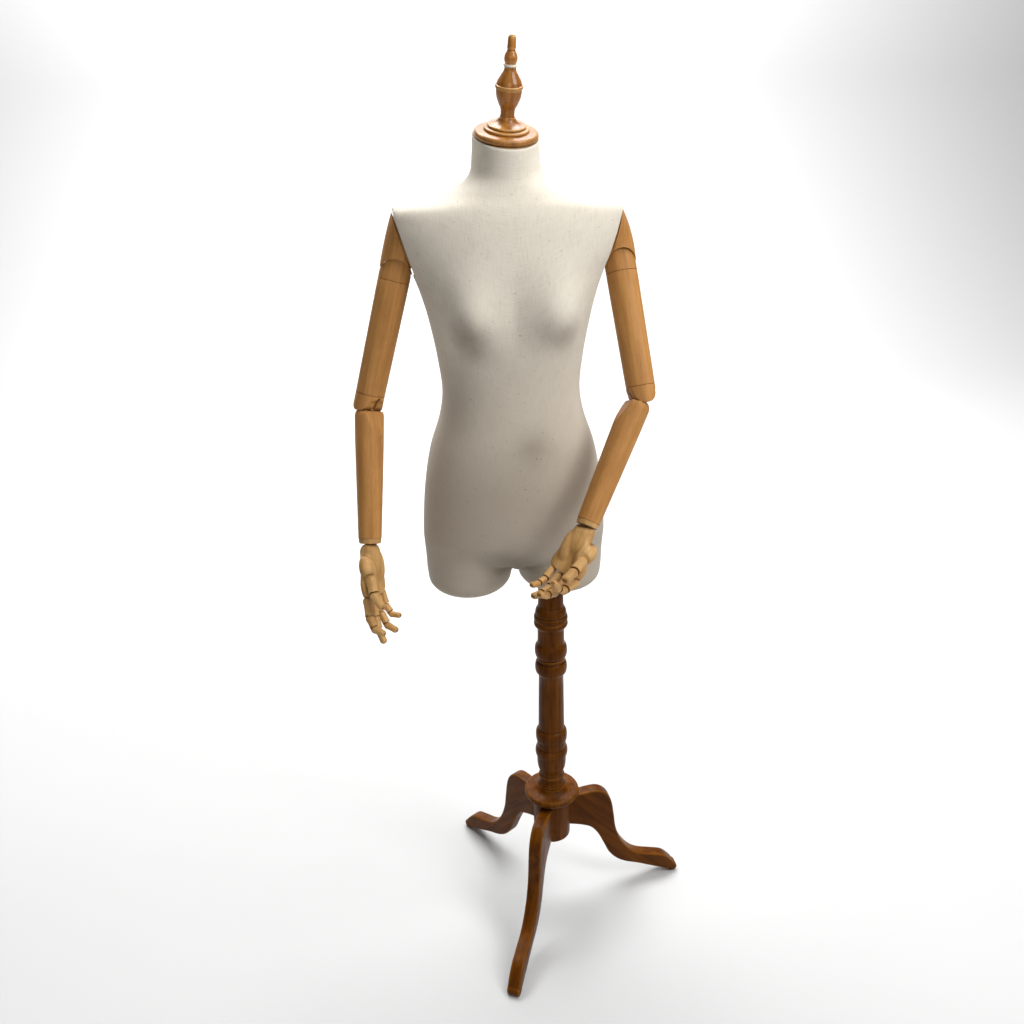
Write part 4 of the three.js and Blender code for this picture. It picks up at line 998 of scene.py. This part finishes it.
class OBJECT_OT_dress_form_palms(bpy.types.Operator):
    """Build the carved palms"""
    bl_idname = "dress_form.palms"
    bl_label = "Palms"

    def execute(self, context):
        for side in SIDES:
            self.palm(side)
        return {"FINISHED"}

    def slab(self, sign):
        """Squared ellipses along the hand, from the round over the wrist to the line of knuckles, bowed
        so that the palm is hollow and the back is full."""
        table = [(-15.8, 1.8, 17.3, 0), (-14.8, 5.6, 17.6, 0), (-13, 8.9, 17.9, 0), (-10, 12.2, 18.2, 0),
                 (-5, 15, 18.6, 0), (2, 15.6, 19, 0), (18, 15, 23.5, 0), (38, 13, 30, -0.5),
                 (62, 10.6, 35.6, -1.2), (78, 9.4, 35.8, -0.8), (94, 8.8, 34, 0)]
        turn = np.linspace(0, 2 * math.pi, 72, endpoint=False)
        side, depth = superellipse(turn, 0.72)
        x = np.concatenate([np.linspace(-15.8, -8, 10), np.linspace(-6, 94, 58)])[:, None]
        thick, wide, sag = np.moveaxis(eased(table, x), -1, 0)
        y = wide * side
        scoop = 3.6 * np.exp(-((x - 52) / 24) ** 2 - ((y - 3 * sign) / 17) ** 2)
        z = thick * depth + sag - np.where(depth > 0, scoop, -0.5 * scoop)
        line = eased([(-27, 68.5), (-24.5, 69.5), (-17, 75), (-8.6, 77.2), (0, 79.6), (8.6, 80.2), (17, 79.4),
                      (26, 78.4), (36, 74)], y * sign)[..., 0]
        reach = np.where(x > 40, 40 + (x - 40) * (line - 40) / 54, x)
        return lidded(np.stack([reach, y, z], -1))

    def mound(self, axes):
        """The ball of the thumb: a turned spindle that points at the thumb's hinge."""
        profile = [(0, -47), (5, -46), (9.5, -41), (13.4, -31), (14.6, -20), (13, -12), (10.8, -9.7), (0, -9.7)]
        origin, x, y, z = axes
        return turned(in_metres(profile), origin, y, z, x)

    def ball(self, centre, radii, axes):
        """An ellipsoid in the hand's frame."""
        turn = np.linspace(-math.pi / 2, math.pi / 2, 18)
        points, faces = turned(np.stack([np.cos(turn), np.sin(turn)], -1), (0, 0, 0), *np.eye(3), around=36)
        return placed((points * radii + centre) * MM, *axes), faces

    def palm(self, side):
        """The palm's slab, the ball of the thumb and the heel of the hand, fused and smoothed."""
        sign = SIDES[side]
        axes = hand_axes(side)
        points, faces = self.slab(sign)
        thumb = finger_axes(side, "thumb", "base", None, f"{side}_thumb_end")
        parts = [(placed(points * MM, *axes), faces), self.mound(thumb),
                 self.ball((26, -14 * sign, 4), (32, 14, 12), axes),
                 self.ball((14, sign, 4), (28, 20, 12.5), axes),
                 self.ball((38, 20 * sign, 5), (26, 13, 10), axes)]
        rough = piece(f"palm_{side}", parts, hand_wood(), f"{side}_palm", [f"palm_{side}"], "hand_wood",
                      along_z(axes))
        fuse = rough.modifiers.new("fuse", "REMESH")
        fuse.mode = "VOXEL"
        fuse.voxel_size = 1.15 * MM
        soft = rough.modifiers.new("soft", "SMOOTH")
        soft.factor = 0.6
        soft.iterations = 26
        bpy.context.view_layer.update()
        fused = bpy.data.meshes.new_from_object(rough.evaluated_get(bpy.context.evaluated_depsgraph_get()))
        rough.modifiers.clear()
        rough.data = fused
        for name in ("grain", "edge"):
            if name in fused.attributes:
                fused.attributes.remove(fused.attributes[name])
        fused.materials.clear()
        finish_mesh(rough, hand_wood(), along_z(axes), 60)


class OBJECT_OT_dress_form_fingers(bpy.types.Operator):
    """Build the three pieces of each finger and the two of each thumb"""
    bl_idname = "dress_form.fingers"
    bl_label = "Fingers"

    def execute(self, context):
        for side in SIDES:
            for finger in FINGERS:
                scale = {"ring": 0.97, "little": 0.88}.get(finger, 1.0)
                radii = np.array((8, 7.3, 6.6)) * scale
                self.chain(side, finger, ("knuckle", "middle_joint", "end_joint"), radii,
                           16 * scale, 5.6 * scale)
            self.chain(side, "thumb", ("base", "end"), (9.2, 8.2), 18, 6.5)
        return {"FINISHED"}

    def chain(self, side, finger, joints, radii, width, tip):
        """Each piece runs from its own joint to the next one, or to the far end of its solid."""
        for number, joint in enumerate(joints):
            name = f"{side}_{finger}_{number + 1}"
            is_tip = number == len(joints) - 1
            following = None if is_tip else f"{side}_{finger}_{joints[number + 1]}"
            axes = finger_axes(side, finger, joint, name, following)
            origin, x, *_ = axes
            if is_tip:
                run = ((cad_points(name) - origin) @ x).max() / MM
            else:
                run = np.linalg.norm(where(following) - origin) / MM
            end = tip if is_tip else radii[number + 1]
            points, faces = finger_skin(width * (1 - 0.08 * number), radii[number], run, end, is_tip)
            grain = (origin - 0.07 * number * np.ones(3), *along_z(axes)[1:])
            piece(name + "_wood", [(placed(points * MM, *axes), faces)], hand_wood(), name, [name],
                  "hand_wood", grain, sharp=45)


# ------------------------------------------------------------------ stand
def post_axes(height=0.0):
    return POST + (0, 0, height), np.array((1.0, 0, 0)), np.array((0, 1.0, 0)), np.array((0, 0, 1.0))


class OBJECT_OT_dress_form_column(bpy.types.Operator):
    """Build the turned column, the disc under it and the hub"""
    bl_idname = "dress_form.column"
    bl_label = "Column and hub"

    def execute(self, context):
        axes = post_axes()
        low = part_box("column")[0].z / MM
        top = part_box("column")[1].z / MM
        r = sizes().column_radius / MM
        foot = smooth_line([(29.6, low + 0.2), (30.4, low + 5), (26.4, low + 12), (24.5, low + 19)], 6)
        vase = smooth_line([(25, low + 31), (25.3, low + 38), (28.6, low + 47), (30.6, low + 60), (31, 380)], 6)
        waist = smooth_line([(30.4, 405), (30.6, 412), (30.5, 419)], 6)
        shaft = [(r + 1, 450), (r + 1.3, 460), (r + 1, 472), (r, 555), (r - 0.5, 584)]
        throat = smooth_line([(28.4, 619), (29.2, 624), (28.2, 625.6)], 5)
        head = smooth_line([(27.4, 661), (27, 676), (27.4, 692), (29.4, 697)], 6)
        neck = smooth_line([(31.6, 727), (30.6, 735), (27.2, 742), (25.5, 750), (25, top - 1)], 6)
        column = [(0, low), (29, low), *foot, *bead(low + 25, 27.8, 5, 24.6), *vase,
                  *bead(393, 34.4, 11, 31),
                  *waist, *bead(434, 33.2, 14, 30.2), *shaft, *bead(603, 33, 15, 28), *throat,
                  *bead(642, 33.2, 16, 28), *head, *bead(705, 34.4, 6.4, 30.4), *bead(717.6, 34.2, 7, 31), *neck,
                  (25, top), (0, top)]
        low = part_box("hub_flange")[0].z / MM
        disc = [(0, low), (52, low), *rounded_rim(59, low, low + 15, 6.4, 8), (50, low + 15),
                *smooth_line([(45, low + 15.6), (38, low + 18), (33.4, low + 21.4), (31, low + 25)], 5),
                (0, low + 25)]
        low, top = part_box("leg_hub")[0].z / MM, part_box("leg_hub")[1].z / MM
        hub = [(0, low), (37, low), *rounded_rim(40, low, top, 3), (0, top)]
        for name, stands_for, profile in (("column_turning", "column", column),
                                          ("flange_turning", "hub_flange", disc),
                                          ("hub_turning", "leg_hub", hub)):
            piece(name, [turned(in_metres(profile), *axes, around=96)], stand_wood(), "stand", [stands_for],
                  "stand_wood", axes)
        return {"FINISHED"}


class OBJECT_OT_dress_form_legs(bpy.types.Operator):
    """Build the three sawn and rounded legs"""
    bl_idname = "dress_form.legs"
    bl_label = "Legs"

    def execute(self, context):
        outline = self.outline()
        for number in (1, 2, 3):
            toe = self.toe_direction(number)
            axes = (POST, toe, np.cross((0, 0, 1), toe), np.array((0, 0, 1.0)))
            points, faces = self.board(outline)
            along = (POST + 0.1 * number, np.cross((0, 0, 1), toe), unit((0, 0, 1) + toe),
                     unit(toe - (0, 0, 1)))
            piece(f"leg_board_{number}", [(placed(points, *axes), faces)], stand_wood(), "stand",
                  [f"leg_{number}"], "stand_wood", along, sharp=50)
        return {"FINISHED"}

    def toe_direction(self, number):
        """The way that a leg points: from the post to the middle of its farthest points."""
        flat = (cad_points(f"leg_{number}") - POST) * (1, 1, 0)
        far = np.linalg.norm(flat, axis=1)
        return unit(flat[far > far.max() - 0.004].mean(0))

    def outline(self):
        """The side of a leg, (reach, height) in metres: under the hub, in, out to the toe and back over."""
        tip = sizes().leg_reach / MM
        under = smooth_line([(40, 190), (64, 183), (88, 171), (105, 149), (119, 119), (132, 90), (150, 68),
                             (173, 53), (203, 41), (240, 24), (274, 9), (tip - 18, 0.6)], 7)
        t = np.linspace(-math.pi / 2, math.pi * 0.42, 14)
        toe = np.stack([tip - 9 + 9 * np.cos(t), 10 + 10 * np.sin(t)], -1)
        over = smooth_line([(tip - 10, 26), (tip - 18, 36), (tip - 34, 51), (242, 60), (207, 71), (185, 86),
                            (166, 110), (154, 135), (146, 162), (142, 192), (137, 226), (130, 248), (118, 263),
                            (102, 271), (78, 271), (40, 266)], 7)
        whole = np.vstack([(21, 200), under, toe, over, (21, 266)]) * MM
        step = np.linalg.norm(np.diff(whole, axis=0), axis=1)
        return whole[np.concatenate([[True], step > 1e-4])]

    def board(self, outline):
        """The outline repeated across the thickness, drawn in along its own normals by a quarter round
        at each face."""
        half, fillet = sizes().leg_thickness / 2, 4.2 * MM
        ahead = np.roll(outline, -1, 0) - np.roll(outline, 1, 0)
        inward = np.stack([-ahead[:, 1], ahead[:, 0]], -1)
        inward /= np.linalg.norm(inward, axis=1)[:, None]
        bend = np.linspace(0, math.pi / 2, 6)
        inset = fillet * (1 - np.sin(bend))
        across = -half + fillet * (1 - np.cos(bend))
        levels = list(zip(inset, across)) + list(zip(inset[::-1], -across[::-1]))
        rings = []
        for draw, y in levels:
            flat = outline + inward * draw
            rings.append(np.stack([flat[:, 0], y + 0 * flat[:, 0], flat[:, 1].clip(0)], -1))
        return lidded(np.array(rings))


class OBJECT_OT_dress_form_metal(bpy.types.Operator):
    """Give the steel rod, nut, spigot and socket their finish"""
    bl_idname = "dress_form.metal"
    bl_label = "Steel fittings"

    def execute(self, context):
        steel = plain_finish("zinc_plated_steel", linear("#a8a8a5"), linear("#8a8a86"), 0.38, 1.0, 300, 0.00005)
        for name in ("tie_rod", "tie_rod_nut", "torso_spigot", "torso_socket"):
            mesh = frame["nodes"][name].data
            mesh.materials.clear()
            mesh.materials.append(steel)
        return {"FINISHED"}


# ------------------------------------------------------------------ stage
class OBJECT_OT_dress_form_stage(bpy.types.Operator):
    """Set up the camera, the pale sweep and the soft lights"""
    bl_idname = "dress_form.stage"
    bl_label = "Stage"

    def execute(self, context):
        self.camera(context.scene)
        self.sweep(context.scene)
        self.lights(context.scene)
        return {"FINISHED"}

    def camera(self, scene):
        """The camera looks down at 22.7 degrees with a small roll."""
        data = bpy.data.cameras.new("camera")
        data.lens = 31.9
        data.sensor_width = 36
        made = bpy.data.objects.new("camera", data)
        scene.collection.objects.link(made)
        down, roll = math.radians(22.69), math.radians(1.33)
        level = Vector((0.0872, 0.9962, 0))
        ahead = level * math.cos(down) - Vector((0, 0, math.sin(down)))
        right = ahead.cross(Vector((0, 0, 1))).normalized()
        above = right.cross(ahead)
        x = right * math.cos(roll) - above * math.sin(roll)
        y = right * math.sin(roll) + above * math.cos(roll)
        place = Vector(POST) + Vector((-0.2127, -1.5915, 1.618))
        made.matrix_world = Matrix.Translation(place) @ Matrix((x, y, -ahead)).transposed().to_4x4()
        scene.camera = made

    def sweep(self, scene):
        """A pale floor that curves up into a back wall: a quarter circle between two flats."""
        bend = np.linspace(0, math.pi / 2, 24)
        line = np.concatenate([[(-6, 0)], np.stack([4 + 2 * np.sin(bend), 2 - 2 * np.cos(bend)], -1), [(6, 9)]])
        wide = np.array([-9, 9])[:, None]
        points = np.stack([wide + 0 * line[:, 0], line[:, 0] + 0 * wide, line[:, 1] + 0 * wide], -1)
        faces = grid_faces(2, len(line), closed=False)
        mesh = bpy.data.meshes.new("studio_sweep")
        mesh.from_pydata(points.reshape(-1, 3).tolist(), [], faces)
        mesh.polygons.foreach_set("use_smooth", np.ones(len(mesh.polygons), bool))
        pale = tuple(colours().floor)
        mesh.materials.append(plain_finish("matt_white_paper", pale, pale, 0.9, 0.0, 2.0, 0.00001))
        made = bpy.data.objects.new("studio_sweep", mesh)
        scene.collection.objects.link(made)

    def lights(self, scene):
        """A lamp above and to the right, a weak fill in front, one lamp over the floor and one over the
        back wall, in a weak white surround."""
        scene.view_settings.view_transform = "Standard"
        for name, place, target, size, power in (
                ("key", (1.7, -1.5, 2.6), (0, 0, 1.1), 1.1, 44),
                ("fill", (-0.2, -3.2, 2.0), (0, 0, 1.2), 1.6, 17),
                ("top", (1.0, -0.6, 4.4), (-0.2, 0, 0), 2.4, 66),
                ("backdrop", (0, 3.0, 5.5), (0, 5.9, 1.0), 5.0, 900)):
            data = bpy.data.lights.new(name, "AREA")
            data.size = size
            data.energy = power
            made = bpy.data.objects.new(name, data)
            made.location = place
            made.rotation_euler = (Vector(target) - Vector(place)).to_track_quat("-Z", "Y").to_euler()
            scene.collection.objects.link(made)
        world = bpy.data.worlds.new("white_surround")
        world.use_nodes = True
        background = world.node_tree.nodes["Background"]
        background.inputs["Color"].default_value = (1, 1, 1, 1)
        background.inputs["Strength"].default_value = 0.12
        scene.world = world


# ------------------------------------------------------------------ add-on
OPERATORS = (OBJECT_OT_dress_form_torso, OBJECT_OT_dress_form_finial, OBJECT_OT_dress_form_shoulders,
             OBJECT_OT_dress_form_upper_arms, OBJECT_OT_dress_form_forearms, OBJECT_OT_dress_form_palms,
             OBJECT_OT_dress_form_fingers, OBJECT_OT_dress_form_column, OBJECT_OT_dress_form_legs,
             OBJECT_OT_dress_form_metal, OBJECT_OT_dress_form_stage)


class VIEW3D_PT_dress_form(bpy.types.Panel):
    """The pieces of the dress form, in the order in which they are made"""
    bl_label = "Dress form"
    bl_idname = "VIEW3D_PT_dress_form"
    bl_space_type = "VIEW_3D"
    bl_region_type = "UI"
    bl_category = "Dress form"

    def draw(self, context):
        for group in (context.scene.dress_form_sizes, context.scene.dress_form_colours):
            for name in group.__annotations__:
                self.layout.prop(group, name)
        for operator in OPERATORS:
            self.layout.operator(operator.bl_idname)


CLASSES = (DressFormSizes, DressFormColours, *OPERATORS, VIEW3D_PT_dress_form)


def register():
    for one in CLASSES:
        bpy.utils.register_class(one)
    bpy.types.Scene.dress_form_sizes = PointerProperty(type=DressFormSizes)
    bpy.types.Scene.dress_form_colours = PointerProperty(type=DressFormColours)


def unregister():
    del bpy.types.Scene.dress_form_colours
    del bpy.types.Scene.dress_form_sizes
    for one in reversed(CLASSES):
        bpy.utils.unregister_class(one)


def main():
    """Registers the add-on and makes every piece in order."""
    register()
    for operator in OPERATORS:
        group, name = operator.bl_idname.split(".")
        getattr(getattr(bpy.ops, group), name)()
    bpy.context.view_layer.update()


if __name__ == "__main__":
    main()
